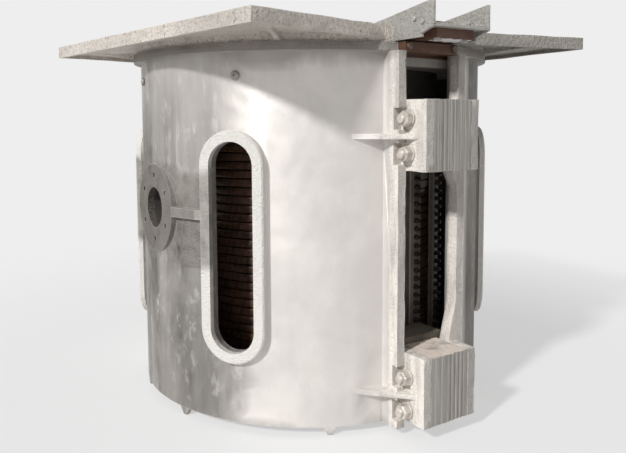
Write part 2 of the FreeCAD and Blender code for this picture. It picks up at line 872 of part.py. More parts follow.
def build():
    os.makedirs("parts", exist_ok=True)
    half = shell_half()
    export("shell_half_right", [fused([half] + ear_webs())])
    export("shell_half_left", [fused([mirrored(half)] + rear(ear_webs()))])
    deck = deck_half()
    export("deck_half_right", [deck])
    export("deck_half_left", [mirrored(deck)])
    export("deck_joint_strip_front", [joint_strip(-deck_front, -deck_hole_radius)])
    export("deck_joint_strip_rear", [joint_strip(deck_hole_radius, deck_rear)])

    for place in ("upper", "lower"):
        export("pack_front_" + place, [pack(place)])
        export("pack_rear_" + place, rear([pack(place)]))
    export("pack_studs", pack_studs() + rear(pack_studs()))
    export("collar_block_front", [collar_block()])
    export("collar_block_rear", rear([collar_block()]))
    export("collar_block_bolts", collar_bolts() + rear(collar_bolts()))

    cheek = spout_cheek()
    export("spout_cheek_right", [cheek])
    export("spout_cheek_left", [mirrored(cheek)])
    export("spout_floor", [spout_floor()])
    export("spout_weir", [spout_weir()])
    export("spout_insulating_block", [spout_block()])
    export("spout_bolts", spout_bolts())

    export("induction_coil", [induction_coil()])
    for i, angle in enumerate(signed(post_angles)):
        export("coil_post_%02d" % (i + 1), [coil_post(angle)])
    export("coil_post_nuts", post_nut_set())

    half_block = terminal_width / 2
    export("terminal_block_lower", [terminal_block(coil_low)])
    export("terminal_block_upper", [terminal_block(coil_high)])
    lower_flag = pack_levels["lower"] + pack_height + lower_bar_rise
    upper_flag = pack_levels["upper"] - upper_bar_drop
    export("terminal_bar_lower", [terminal_bar(coil_low - half_block, lower_flag)])
    export("terminal_bar_upper", [terminal_bar(coil_high + half_block, upper_flag)])
    export("terminal_nipples", [nipple(coil_low, 1), nipple(coil_high, -1)])

    export("crucible_lining", [lining()])
    export("lining_sleeve", [ring(sleeve_radius, lining_radius + fit, lining_bottom, post_top)])
    export("coil_grout", [ring(grout_radius, sleeve_radius + fit, lining_bottom, post_top)])
    export("base_board", [disc(board_radius, base + ledge_thickness, base_board_top)])
    export("base_block", [disc(base_block_radius, base_board_top, lining_bottom)])
    export("top_block", [ring(top_block_radius, lining_radius + fit, post_top, deck_top)])
    ring_top = ring_bottom + ring_thickness
    hole = top_block_radius + fit
    export("top_ring_board", [ring(board_radius, hole, ring_bottom, ring_top)])
    export("top_ring_seal", [ring(board_radius, hole, ring_top, ring_top + seal_thickness)])
    filler_front = shell_radius - filler_setback
    export("gap_filler_front", [box(-filler_width / 2, filler_width / 2, -filler_front,
                                    filler_depth - filler_front, base_board_top, base + filler_top)])
    export("top_ring_brackets", [ring_bracket(a) for a in signed(screw_angles)])
    export("shell_screws", [shell_screw(a) for a in signed(screw_angles)])
    export("foot_lugs", [foot(a) for a in signed(foot_angles)])


build()
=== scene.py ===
import math
import random

import bmesh
import bpy
from mathutils import Matrix, Vector, noise


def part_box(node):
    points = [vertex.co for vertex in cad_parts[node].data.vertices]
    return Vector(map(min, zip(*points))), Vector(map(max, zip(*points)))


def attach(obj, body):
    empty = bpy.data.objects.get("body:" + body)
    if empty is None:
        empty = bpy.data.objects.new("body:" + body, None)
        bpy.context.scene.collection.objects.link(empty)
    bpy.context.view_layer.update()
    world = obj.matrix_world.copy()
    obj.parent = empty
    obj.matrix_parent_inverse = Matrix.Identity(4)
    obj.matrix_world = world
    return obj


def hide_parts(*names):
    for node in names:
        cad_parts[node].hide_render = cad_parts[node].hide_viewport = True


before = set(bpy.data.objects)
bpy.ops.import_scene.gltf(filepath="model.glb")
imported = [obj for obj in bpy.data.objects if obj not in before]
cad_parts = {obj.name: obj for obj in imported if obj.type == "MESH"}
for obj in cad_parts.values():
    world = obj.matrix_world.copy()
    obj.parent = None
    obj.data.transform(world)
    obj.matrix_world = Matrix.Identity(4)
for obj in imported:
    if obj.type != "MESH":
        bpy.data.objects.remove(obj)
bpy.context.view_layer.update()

# Camera
# It stands low to the left of the spout, where the photograph was taken, with a normal lens
# held level apart from a slight downward tilt.
camera_place = (-1.268, -1.939, 0.852)
camera_heading = 33.6
camera_tilt = 4.77
camera_roll = 0.24
focal_length = 682.5
image_width = 626
image_height = 453
picture_centre = (315.3, 174.8)

camera_data = bpy.data.cameras.new("camera")
camera_data.sensor_width = 36.0
camera_data.lens = focal_length * camera_data.sensor_width / image_width
camera_data.shift_x = (image_width / 2 - picture_centre[0]) / image_width
camera_data.shift_y = (picture_centre[1] - image_height / 2) / image_width
camera = bpy.data.objects.new("camera", camera_data)
aim = Matrix.Rotation(math.radians(-camera_heading), 4, "Z")
aim = aim @ Matrix.Rotation(math.radians(90 - camera_tilt), 4, "X")
aim = aim @ Matrix.Rotation(math.radians(-camera_roll), 4, "Z")
camera.matrix_world = Matrix.Translation(camera_place) @ aim
bpy.context.scene.collection.objects.link(camera)
bpy.context.scene.camera = camera
bpy.context.scene.view_settings.view_transform = "Standard"


# Studio floor, sky and lamps
# A pale floor under a pale even sky. One soft lamp stands high on the left and throws the deck's
# shadow down the shell, and a weak one fills the right side.
backdrop_grey = (0.855, 0.855, 0.855, 1)
floor_radius = 9.0
floor_near = 1.0
floor_far = 2.6
sky_strength = 0.31
sun_heading = 251.0
sun_height = 34.0
sun_strength = 3.1
sun_softness = 5.0
fill_place = (3.2, -2.6, 2.2)
fill_power = 3.0


def feed(tree, socket, value):
    "Gives a socket a number or colour, or joins another node's output to it."
    if isinstance(value, bpy.types.Node):
        value = value.outputs[0]
    if isinstance(value, bpy.types.NodeSocket):
        tree.links.new(value, socket)
    else:
        socket.default_value = value


def add(tree, kind, inputs=None, **settings):
    node = tree.nodes.new("ShaderNode" + kind)
    for name, value in settings.items():
        setattr(node, name, value)
    for name, value in (inputs or {}).items():
        feed(tree, node.inputs[name], value)
    return node


def ranged(tree, value, low, high, to_low=0.0, to_high=1.0):
    "Stretches one range of a value to another, with soft ends cut off."
    return add(tree, "MapRange", {0: value, 1: low, 2: high, 3: to_low, 4: to_high}).outputs[0]


def mixed(tree, mask, first, second, way="MIX"):
    node = add(tree, "Mix", data_type="RGBA", blend_type=way)
    feed(tree, node.inputs[0], mask)
    feed(tree, node.inputs[6], first)
    feed(tree, node.inputs[7], second)
    return node.outputs[2]


def sums(tree, way, first, second):
    return add(tree, "Math", {0: first, 1: second}, operation=way).outputs[0]


def picture_rays(tree):
    "1 for what the camera, a reflection or a clear surface sees, 0 for light on the object."
    path = add(tree, "LightPath")
    seen = sums(tree, "MAXIMUM", path.outputs["Is Camera Ray"], path.outputs["Is Glossy Ray"])
    return sums(tree, "MAXIMUM", seen, path.outputs["Is Transmission Ray"])


def make_sky():
    world = bpy.data.worlds.new("studio sky")
    world.use_nodes = True
    tree = world.node_tree
    background = tree.nodes["Background"]
    strength = ranged(tree, picture_rays(tree), 0, 1, sky_strength, 1.0)
    feed(tree, background.inputs["Color"], backdrop_grey)
    feed(tree, background.inputs["Strength"], strength)
    bpy.context.scene.world = world


def floor_material():
    material = bpy.data.materials.new("studio floor")
    material.use_nodes = True
    tree = material.node_tree
    tree.nodes.clear()
    place = add(tree, "NewGeometry").outputs["Position"]
    reach = add(tree, "VectorMath", {0: place}, operation="LENGTH").outputs["Value"]
    far = ranged(tree, reach, floor_near, floor_far, 0.62, 1.0)
    paint = add(tree, "BsdfDiffuse", {"Color": backdrop_grey})
    glow = add(tree, "Emission", {"Color": backdrop_grey})
    share = sums(tree, "MULTIPLY", far, picture_rays(tree))
    both = add(tree, "MixShader", {0: share, 1: paint, 2: glow})
    out = add(tree, "OutputMaterial")
    tree.links.new(both.outputs[0], out.inputs[0])
    return material


def new_piece(name, mesh):
    piece = bpy.data.objects.new(name, mesh)
    bpy.context.scene.collection.objects.link(piece)
    return piece


def make_floor():
    bm = bmesh.new()
    bmesh.ops.create_circle(bm, cap_ends=True, segments=96, radius=floor_radius)
    mesh = bpy.data.meshes.new("floor")
    bm.to_mesh(mesh)
    bm.free()
    mesh.materials.append(floor_material())
    new_piece("floor", mesh)


def make_lamps():
    key = bpy.data.lights.new("key lamp", "SUN")
    key.energy = sun_strength
    key.angle = math.radians(sun_softness)
    lamp = bpy.data.objects.new("key lamp", key)
    turn = Matrix.Rotation(math.radians(-sun_heading), 4, "Z")
    lamp.matrix_world = turn @ Matrix.Rotation(math.radians(sun_height - 90), 4, "X")
    bpy.context.scene.collection.objects.link(lamp)
    fill = bpy.data.lights.new("fill lamp", "AREA")
    fill.energy = fill_power
    fill.size = 2.0
    lamp = bpy.data.objects.new("fill lamp", fill)
    middle = Vector((0, 0, 0.6))
    turn = (Vector(fill_place) - middle).to_track_quat("Z", "Y").to_matrix().to_4x4()
    lamp.matrix_world = Matrix.Translation(fill_place) @ turn
    bpy.context.scene.collection.objects.link(lamp)


make_sky()
make_floor()
make_lamps()


# Shell halves
# Two half cylinders of sand-cast aluminium with windows, trunnion bosses, joint flanges and ears.
# The round wall is ground and polished by hand and the flanges are left as cast; a band round each
# boss is darker and duller. The colour also holds painted light: a painted dark reflection down the
# sides, and painted shade on the front right quarter, the flange end faces, the wall under the deck,
# the crease at the collar's top, the trunnion bores and the inside of the shell.
shell_edge = 0.0022
flange_wave = 0.0024
flange_wave_length = 0.045
flange_mesh_step = 0.022
trunnion_level = 0.590
trunnion_bore_radius = 0.0615
unpolished_half_height = 0.135
unpolished_side = 0.462
boss_from = 0.5515
window_angle = 55.0
rim_from = 0.5512
inside_radius = 0.5335
cast_face_from = 0.556
collar_level = 1.0235
# Where the painted dark reflection on the wall's sides starts and ends.
painted_reflection_from = 0.425
painted_reflection_to = 0.475
polished_light = (0.80, 0.755, 0.715, 1)
polished_grey = (0.60, 0.575, 0.555, 1)
# Colours of the painted dark reflection on the wall's sides.
painted_dark_reflection = (0.085, 0.080, 0.074, 1)
painted_reflection_pale = (0.27, 0.25, 0.228, 1)
rim_cream = (0.80, 0.77, 0.725, 1)
cast_cream = (0.88, 0.825, 0.76, 1)
cast_grey_and_shade = (0.36, 0.335, 0.31, 1)
collar_brown = (0.18, 0.152, 0.128, 1)
collar_grey_and_shade = (0.36, 0.33, 0.30, 1)
boss_grey = (0.33, 0.305, 0.275, 1)
boss_brown_and_shade = (0.070, 0.058, 0.045, 1)
pit_dirt_and_crease_shade = (0.17, 0.15, 0.13, 1)
painted_shade_black = (0.045, 0.038, 0.032, 1)


def effect(name, takes, gives):
    "An empty group of nodes with number inputs and outputs, and its two end nodes."
    tree = bpy.data.node_groups.new(name, "ShaderNodeTree")
    for label, value in takes.items():
        socket = tree.interface.new_socket(label, in_out="INPUT", socket_type="NodeSocketFloat")
        socket.default_value = value
    for label in gives:
        tree.interface.new_socket(label, in_out="OUTPUT", socket_type="NodeSocketFloat")
    return tree, tree.nodes.new("NodeGroupInput"), tree.nodes.new("NodeGroupOutput")


def stretched_place(tree, inner):
    "The point on the object, squeezed in height so that what follows runs down it."
    squeeze = sums(tree, "DIVIDE", 1.0, inner.outputs["Stretch"])
    scale = add(tree, "CombineXYZ", {"X": 1.0, "Y": 1.0, "Z": squeeze})
    place = add(tree, "TexCoord").outputs["Object"]
    return add(tree, "VectorMath", {0: place, 1: scale}, operation="MULTIPLY").outputs[0]


def make_stains():
    "Large soft patches, thin runs down the wall and small spots."
    takes = {"Patches": 3.0, "Runs": 40.0, "Spots": 60.0, "Stretch": 1.0}
    tree, inner, outer = effect("stains", takes, ("Patch", "Run", "Spot"))
    place = stretched_place(tree, inner)
    patch = add(tree, "TexNoise", {"Vector": place, "Scale": inner.outputs["Patches"],
                                   "Detail": 5.0, "Roughness": 0.58, "Distortion": 0.6})
    feed(tree, outer.inputs["Patch"], ranged(tree, patch, 0.36, 0.66))
    run = add(tree, "TexNoise", {"Vector": place, "Scale": inner.outputs["Runs"],
                                 "Detail": 4.0, "Roughness": 0.6, "Distortion": 0.2})
    feed(tree, outer.inputs["Run"], ranged(tree, run, 0.45, 0.75))
    spot = add(tree, "TexVoronoi", {"Vector": place, "Scale": inner.outputs["Spots"]})
    feed(tree, outer.inputs["Spot"], ranged(tree, spot.outputs["Distance"], 0.22, 0.06))
    return tree


def make_grain():
    "The skin of a sand casting: fine grain, small pits and long shallow swells."
    takes = {"Grain": 300.0, "Pits": 90.0, "Swells": 6.0}
    tree, inner, outer = effect("grain", takes, ("Grain", "Pit", "Swell"))
    place = add(tree, "TexCoord").outputs["Object"]
    fine = add(tree, "TexNoise", {"Vector": place, "Scale": inner.outputs["Grain"],
                                  "Detail": 4.0, "Roughness": 0.65})
    feed(tree, outer.inputs["Grain"], fine.outputs[0])
    pit = add(tree, "TexVoronoi", {"Vector": place, "Scale": inner.outputs["Pits"],
                                   "Randomness": 1.0})
    where = add(tree, "TexNoise", {"Vector": place, "Scale": sums(tree, "MULTIPLY", inner.outputs["Pits"], 0.21)})
    deep = ranged(tree, pit.outputs["Distance"], 0.30, 0.10)
    some = ranged(tree, where, 0.50, 0.62)
    feed(tree, outer.inputs["Pit"], sums(tree, "MULTIPLY", deep, some))
    swell = add(tree, "TexNoise", {"Vector": place, "Scale": inner.outputs["Swells"],
                                   "Detail": 2.0, "Roughness": 0.5})
    feed(tree, outer.inputs["Swell"], swell.outputs[0])
    return tree


def make_edges():
    "Finds edges and corners by rounding the surface and seeing where that turns it."
    tree, inner, outer = effect("edges", {"Width": 0.004}, ("Edge",))
    round_off = add(tree, "Bevel", {"Radius": inner.outputs["Width"]}, samples=4)
    face = add(tree, "NewGeometry").outputs["Normal"]
    alike = add(tree, "VectorMath", {0: round_off, 1: face}, operation="DOT_PRODUCT")
    feed(tree, outer.inputs["Edge"], ranged(tree, alike.outputs["Value"], 0.985, 0.86))
    return tree


def make_dust():
    "Pale dust that lies on what faces up."
    tree, inner, outer = effect("dust", {"Size": 20.0}, ("Dust",))
    up = add(tree, "SeparateXYZ", {0: add(tree, "NewGeometry").outputs["Normal"]}).outputs["Z"]
    place = add(tree, "TexCoord").outputs["Object"]
    cloud = add(tree, "TexNoise", {"Vector": place, "Scale": inner.outputs["Size"], "Detail": 5.0})
    lies = sums(tree, "MULTIPLY", ranged(tree, up, 0.55, 0.95), ranged(tree, cloud, 0.35, 0.70))
    feed(tree, outer.inputs["Dust"], lies)
    return tree


stains = make_stains()
grain = make_grain()
edges = make_edges()
dust = make_dust()


def use(tree, group, **inputs):
    node = tree.nodes.new("ShaderNodeGroup")
    node.node_tree = group
    for label, value in inputs.items():
        feed(tree, node.inputs[label], value)
    return node.outputs


def new_material(name):
    material = bpy.data.materials.new(name)
    material.use_nodes = True
    return material, material.node_tree, material.node_tree.nodes["Principled BSDF"]


def raised(tree, surface, height, depth, distance=0.001):
    "Feeds a height to the surface as relief."
    bump = add(tree, "Bump", {"Strength": depth, "Distance": distance, "Height": height})
    feed(tree, surface.inputs["Normal"], bump)


def size_of(tree, value):
    return add(tree, "Math", {0: value}, operation="ABSOLUTE").outputs[0]


def reach_of(tree, first, second):
    "The distance of a point from an axis, from its two offsets."
    squares = sums(tree, "ADD", sums(tree, "MULTIPLY", first, first), sums(tree, "MULTIPLY", second, second))
    return sums(tree, "POWER", squares, 0.5)


def shell_places(tree, drift):
    "Masks for the parts of a shell half, found from where a point lies on it."
    x, y, z = add(tree, "SeparateXYZ", {0: add(tree, "TexCoord").outputs["Object"]}).outputs
    side = size_of(tree, x)
    front = size_of(tree, y)
    rise = sums(tree, "SUBTRACT", z, trunnion_level)
    places = {}
    half = unpolished_half_height
    level = ranged(tree, sums(tree, "ADD", size_of(tree, rise), drift), half + 0.012, half - 0.012)
    near_boss = ranged(tree, sums(tree, "ADD", side, drift), unpolished_side - 0.012, unpolished_side + 0.012)
    places["unpolished"] = sums(tree, "MULTIPLY", level, near_boss)
    places["boss"] = ranged(tree, side, boss_from, boss_from + 0.003)
    bore = ranged(tree, reach_of(tree, y, rise), trunnion_bore_radius + 0.001, trunnion_bore_radius)
    places["bore"] = sums(tree, "MULTIPLY", bore, ranged(tree, side, 0.40, 0.41))
    way = math.radians(window_angle)
    flat = sums(tree, "ADD", sums(tree, "MULTIPLY", side, math.sin(way)), sums(tree, "MULTIPLY", front, math.cos(way)))
    places["rim"] = ranged(tree, flat, rim_from, rim_from + 0.001)
    places["flange"] = ranged(tree, front, cast_face_from, cast_face_from + 0.012)
    places["collar"] = ranged(tree, z, collar_level, collar_level + 0.002)
    places["dull side"] = ranged(tree, sums(tree, "ADD", side, drift), painted_reflection_from, painted_reflection_to)
    places["by flange"] = ranged(tree, sums(tree, "ADD", front, drift), 0.44, 0.54)
    # Painted shade on the front right quarter of the wall.
    lee = sums(tree, "MULTIPLY", ranged(tree, x, 0.20, 0.24), ranged(tree, sums(tree, "ADD", y, drift), -0.26, -0.34))
    places["lee side"] = lee
    # Painted shade on the end face of the front right ear.
    lee = sums(tree, "MULTIPLY", ranged(tree, x, 0.02, 0.03), ranged(tree, y, -0.600, -0.606))
    places["lee ear"] = lee
    places["low"] = ranged(tree, z, 0.98, 0.74, 0.66, 1.0)
    places["foot"] = ranged(tree, sums(tree, "ADD", z, drift), 0.035, 0.010)
    turned = size_of(tree, add(tree, "SeparateXYZ", {0: add(tree, "NewGeometry").outputs["Normal"]}).outputs["Y"])
    # Faces turned to front or back, which get painted shade on the flanges.
    places["end face"] = ranged(tree, turned, 0.55, 0.85)
    # Painted shade in the crease at the collar's top and on the wall under the deck.
    places["collar top"] = ranged(tree, z, 1.043, 1.050)
    places["collar foot"] = ranged(tree, z, 1.038, 1.032)
    places["under collar"] = ranged(tree, sums(tree, "ADD", z, drift), 0.985, 1.025)
    # Painted shade on the inside of the wall.
    places["inside"] = ranged(tree, reach_of(tree, x, y), inside_radius + 0.001, inside_radius)
    return places


def wall_colour(tree, places, broad, tall):
    """Ground and polished metal, bright in front and greyer next to the flanges. The sides carry a painted dark
    reflection, stronger low down, with pale scratches over it; the front right quarter carries painted shade.
    """
    cloud = sums(tree, "MULTIPLY", broad["Patch"], ranged(tree, tall["Patch"], 0, 1, 0.4, 1.0))
    bright = mixed(tree, ranged(tree, cloud, 0, 1, 0.0, 0.75), polished_light, polished_grey)
    scratch = sums(tree, "MULTIPLY", tall["Run"], ranged(tree, broad["Run"], 0.2, 0.9))
    # Painted dark reflection down the sides of the wall, stronger low down, with pale scratches over it.
    dull = mixed(tree, ranged(tree, broad["Patch"], 0.1, 0.9), painted_dark_reflection, painted_reflection_pale)
    dull = mixed(tree, ranged(tree, scratch, 0, 0.7, 0.0, 0.8), dull, rim_cream)
    share = sums(tree, "MULTIPLY", places["dull side"], ranged(tree, tall["Patch"], 0, 1, 0.72, 1.0))
    share = sums(tree, "MULTIPLY", share, places["low"])
    # Painted shade: the front right quarter of the wall turns dark brown.
    dull = mixed(tree, ranged(tree, places["lee side"], 0, 1, 0.0, 0.6), dull, boss_brown_and_shade)
    share = sums(tree, "MAXIMUM", share, ranged(tree, places["lee side"], 0, 1, 0.0, 0.97))
    bright = mixed(tree, ranged(tree, places["by flange"], 0, 1, 0.0, 0.7), bright, polished_grey)
    return mixed(tree, share, bright, dull)


def cast_aluminium_material():
    material, tree, surface = new_material("cast aluminium")
    broad = use(tree, stains, Patches=4.6, Runs=26.0, Spots=55.0, Stretch=1.3)
    tall = use(tree, stains, Patches=7.0, Runs=30.0, Spots=30.0, Stretch=6.0)
    skin = use(tree, grain, Grain=420.0, Pits=120.0, Swells=7.0)
    coarse_skin = use(tree, grain, Grain=150.0, Pits=60.0, Swells=30.0)
    worn = use(tree, edges, Width=0.004)["Edge"]
    drift = sums(tree, "MULTIPLY", sums(tree, "SUBTRACT", broad["Patch"], 0.5), 0.05)
    places = shell_places(tree, drift)
    colour = wall_colour(tree, places, broad, tall)
    colour = mixed(tree, places["rim"], colour, rim_cream)
    flange_skin_and_shade = mixed(tree, ranged(tree, tall["Run"], 0, 1, 0.0, 0.7), cast_cream, cast_grey_and_shade)
    blotch = ranged(tree, coarse_skin["Grain"], 0.52, 0.68, 0.0, 0.35)
    flange_skin_and_shade = mixed(tree, blotch, flange_skin_and_shade, cast_grey_and_shade)
    # Painted shade: end faces turned to front and back are greyer, and the front right ear's more so.
    flange_skin_and_shade = mixed(tree, ranged(tree, places["end face"], 0, 1, 0.0, 0.5), flange_skin_and_shade, cast_grey_and_shade)
    ear_end_shade = sums(tree, "MULTIPLY", places["end face"], places["lee ear"])
    flange_skin_and_shade = mixed(tree, ranged(tree, ear_end_shade, 0, 1, 0.0, 0.6), flange_skin_and_shade, cast_grey_and_shade)
    # A band round each boss is darker and duller.
    dark_band_colour = mixed(tree, ranged(tree, broad["Run"], 0, 1, 0.2, 1.0), boss_grey, boss_brown_and_shade)
    colour = mixed(tree, ranged(tree, places["unpolished"], 0, 1, 0.0, 0.75), colour, dark_band_colour)
    boss = mixed(tree, ranged(tree, coarse_skin["Grain"], 0.42, 0.66, 0.0, 0.4), boss_brown_and_shade, boss_grey)
    colour = mixed(tree, ranged(tree, places["boss"], 0, 1, 0.0, 0.9), colour, boss)
    # The bore takes the boss's grimy colour, which also paints shade into the hole.
    colour = mixed(tree, ranged(tree, places["bore"], 0, 1, 0.0, 0.9), colour, boss)
    colour = mixed(tree, places["flange"], colour, flange_skin_and_shade)
    collar = mixed(tree, ranged(tree, broad["Patch"], 0, 1, 0.1, 0.9), collar_brown, collar_grey_and_shade)
    collar = mixed(tree, ranged(tree, places["collar foot"], 0, 1, 0.0, 0.6), collar, cast_grey_and_shade)
    # Painted shade: a dark line in the crease under the deck's rib, and a grey band on the wall under the deck.
    collar = mixed(tree, ranged(tree, places["collar top"], 0, 1, 0.0, 0.8), collar, pit_dirt_and_crease_shade)
    colour = mixed(tree, ranged(tree, places["under collar"], 0, 1, 0.0, 0.7), colour, collar_grey_and_shade)
    colour = mixed(tree, ranged(tree, places["foot"], 0, 1, 0.0, 0.55), colour, cast_grey_and_shade)
    colour = mixed(tree, places["collar"], colour, collar)
    as_cast = sums(tree, "MAXIMUM", places["flange"], places["collar"])
    pitted = sums(tree, "MULTIPLY", skin["Pit"], ranged(tree, as_cast, 0, 1, 0.10, 0.25))
    colour = mixed(tree, pitted, colour, pit_dirt_and_crease_shade)
    colour = mixed(tree, ranged(tree, worn, 0, 1, 0.0, 0.45), colour, rim_cream)
    # Painted shade: the inside of the shell turns nearly black.
    colour = mixed(tree, ranged(tree, places["inside"], 0, 1, 0.0, 0.7), colour, painted_shade_black)
    feed(tree, surface.inputs["Base Color"], colour)
    grime = sums(tree, "MAXIMUM", places["unpolished"], sums(tree, "MAXIMUM", places["boss"], places["inside"]))
    dull = sums(tree, "MAXIMUM", as_cast, sums(tree, "MAXIMUM", grime, places["rim"]))
    metal = ranged(tree, dull, 0, 1, 0.48, 0.04)
    feed(tree, surface.inputs["Metallic"], metal)
    shine = ranged(tree, tall["Patch"], 0, 1, 0.44, 0.60)
    feed(tree, surface.inputs["Roughness"], sums(tree, "ADD", shine, sums(tree, "MULTIPLY", dull, 0.25)))
    fine = sums(tree, "MULTIPLY", skin["Grain"], ranged(tree, dull, 0, 1, 0.2, 1.4))
    lumps = sums(tree, "MULTIPLY", coarse_skin["Grain"], ranged(tree, dull, 0, 1, 0.3, 8.0))
    waves = sums(tree, "MULTIPLY", skin["Swell"], 12.0)
    pits = sums(tree, "MULTIPLY", skin["Pit"], ranged(tree, dull, 0, 1, 0.1, 1.0))
    height = sums(tree, "ADD", sums(tree, "ADD", fine, lumps), sums(tree, "SUBTRACT", waves, pits))
    raised(tree, surface, height, 0.9)
    return material


def tidy_copy(node):
    "A copy of a frame part's mesh, its corners joined and its flat faces made whole."
    bm = bmesh.new()
    bm.from_mesh(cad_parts[node].data)
    bmesh.ops.remove_doubles(bm, verts=bm.verts, dist=0.00002)
    bmesh.ops.dissolve_limit(bm, angle_limit=math.radians(0.4), verts=bm.verts, edges=bm.edges)
    return bm


def anywhere(point):
    return True


def cut_finer(bm, step, where=anywhere):
    "Splits long edges until each is about as short as a step."
    for _ in range(7):
        faces = [f for f in bm.faces if len(f.verts) > 3 and where(f.calc_center_median())]
        bmesh.ops.triangulate(bm, faces=faces)
        long_edges = [e for e in bm.edges if e.calc_length() > 1.6 * step
                      and all(where(v.co) for v in e.verts)]
        if not long_edges:
            break
        bmesh.ops.subdivide_edges(bm, edges=long_edges, cuts=1)
    faces = [f for f in bm.faces if len(f.verts) > 3 and where(f.calc_center_median())]
    bmesh.ops.triangulate(bm, faces=faces)


def roughen(bm, height, length, seed, node, where=anywhere):
    "Moves the skin in and out a little, never past the node's own box."
    low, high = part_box(node)
    bm.normal_update()
    moves = []
    verts = [v for v in bm.verts if where(v.co)]
    for v in verts:
        drift = noise.noise(v.co / length + Vector((seed, seed, seed)))
        fine = noise.noise(v.co * 3 / length - Vector((seed, 0, seed)))
        moves.append(v.normal * height * (drift + 0.4 * fine - 0.5))
    for v, move in zip(verts, moves):
        place = v.co + move
        v.co = Vector([min(max(place[i], low[i]), high[i]) for i in range(3)])


def dressed(name, bm, material, nodes, edge=0.0, steps=2):
    "Makes a piece from a mesh, rounds its sharp edges and fixes it in the place of its nodes."
    mesh = bpy.data.meshes.new(name)
    bm.normal_update()
    bm.to_mesh(mesh)
    bm.free()
    mesh.materials.append(material)
    mesh.shade_smooth()
    mesh.set_sharp_from_angle(angle=math.radians(32))
    piece = new_piece(name, mesh)
    if edge:
        rounding = piece.modifiers.new("rounded edges", "BEVEL")
        rounding.width = edge
        rounding.segments = steps
        rounding.limit_method = "ANGLE"
        rounding.angle_limit = math.radians(32)
        rounding.harden_normals = True
    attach(piece, "root")
    if nodes:
        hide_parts(*nodes)
    return piece


def on_flange(point):
    return abs(point.y) > cast_face_from


cast_aluminium = cast_aluminium_material()
for seed, side in enumerate(("left", "right")):
    node = "shell_half_" + side
    bm = tidy_copy(node)
    cut_finer(bm, flange_mesh_step, on_flange)
    roughen(bm, flange_wave, flange_wave_length, 3.0 + seed, node, on_flange)
    dressed(node + "_cast", bm, cast_aluminium, [node], shell_edge)


# Deck
# Two sand-cast aluminium plates with a skirt all round, a round rib that stands on the collar and
# webs to the corners. They are rougher and greyer than the shell, with hand-trimmed wavy edges.
deck_edge = 0.0028
deck_wave = 0.0020
deck_wave_length = 0.055
deck_mesh_step = 0.045
deck_light = (0.84, 0.765, 0.69, 1)
deck_grey = (0.40, 0.37, 0.335, 1)
# Colours for the right plate: a darker copy, which is painted shade.
deck_painted_shade = (0.44, 0.41, 0.37, 1)
deck_painted_shade_dark = (0.20, 0.185, 0.165, 1)
deck_dirt = (0.15, 0.13, 0.115, 1)


def casting_material(name, light, grey, dirt, grain_size, metal):
    "Bare sand-cast or plate metal: blotched, grainy and darker in its pits."
    material, tree, surface = new_material(name)
    marks = use(tree, stains, Patches=5.0, Runs=22.0, Spots=40.0, Stretch=1.0)
    skin = use(tree, grain, Grain=grain_size, Pits=grain_size / 2.6, Swells=16.0)
    lumps = use(tree, grain, Grain=grain_size * 0.42, Pits=grain_size / 5, Swells=40.0)
    worn = use(tree, edges, Width=0.004)["Edge"]
    colour = mixed(tree, ranged(tree, marks["Patch"], 0, 1, 0.0, 0.5), light, grey)
    colour = mixed(tree, ranged(tree, lumps["Grain"], 0.46, 0.66, 0.0, 0.55), colour, grey)
    colour = mixed(tree, ranged(tree, skin["Grain"], 0.44, 0.66, 0.0, 0.45), colour, grey)
    colour = mixed(tree, ranged(tree, marks["Spot"], 0, 1, 0.0, 0.35), colour, dirt)
    colour = mixed(tree, ranged(tree, skin["Pit"], 0, 1, 0.0, 0.8), colour, dirt)
    colour = mixed(tree, ranged(tree, worn, 0, 1, 0.0, 0.55), colour, light)
    feed(tree, surface.inputs["Base Color"], colour)
    feed(tree, surface.inputs["Metallic"], metal)
    feed(tree, surface.inputs["Roughness"], ranged(tree, marks["Patch"], 0, 1, 0.50, 0.68))
    height = sums(tree, "ADD", sums(tree, "MULTIPLY", skin["Grain"], 2.0), sums(tree, "MULTIPLY", lumps["Grain"], 9.0))
    raised(tree, surface, sums(tree, "SUBTRACT", height, skin["Pit"]), 0.9, 0.0013)
    return material


# The right plate takes a darker copy of the casting colours as painted shade.
deck_castings = (
    casting_material("deck casting", deck_light, deck_grey, deck_dirt, 230.0, 0.08),
    casting_material("deck casting with painted shade", deck_painted_shade, deck_painted_shade_dark, deck_dirt, 230.0, 0.08),
)
for seed, side in enumerate(("left", "right")):
    node = "deck_half_" + side
    bm = tidy_copy(node)
    cut_finer(bm, deck_mesh_step)
    roughen(bm, deck_wave, deck_wave_length, seed * 7.0, node)
    dressed(node + "_cast", bm, deck_castings[seed], [node], deck_edge)


# Strips between the deck plates
# Dark insulating board that keeps the two deck plates apart, at the front and at the back.
strip_edge = 0.0008
strip_dark = (0.055, 0.048, 0.045, 1)
strip_brown = (0.12, 0.085, 0.07, 1)


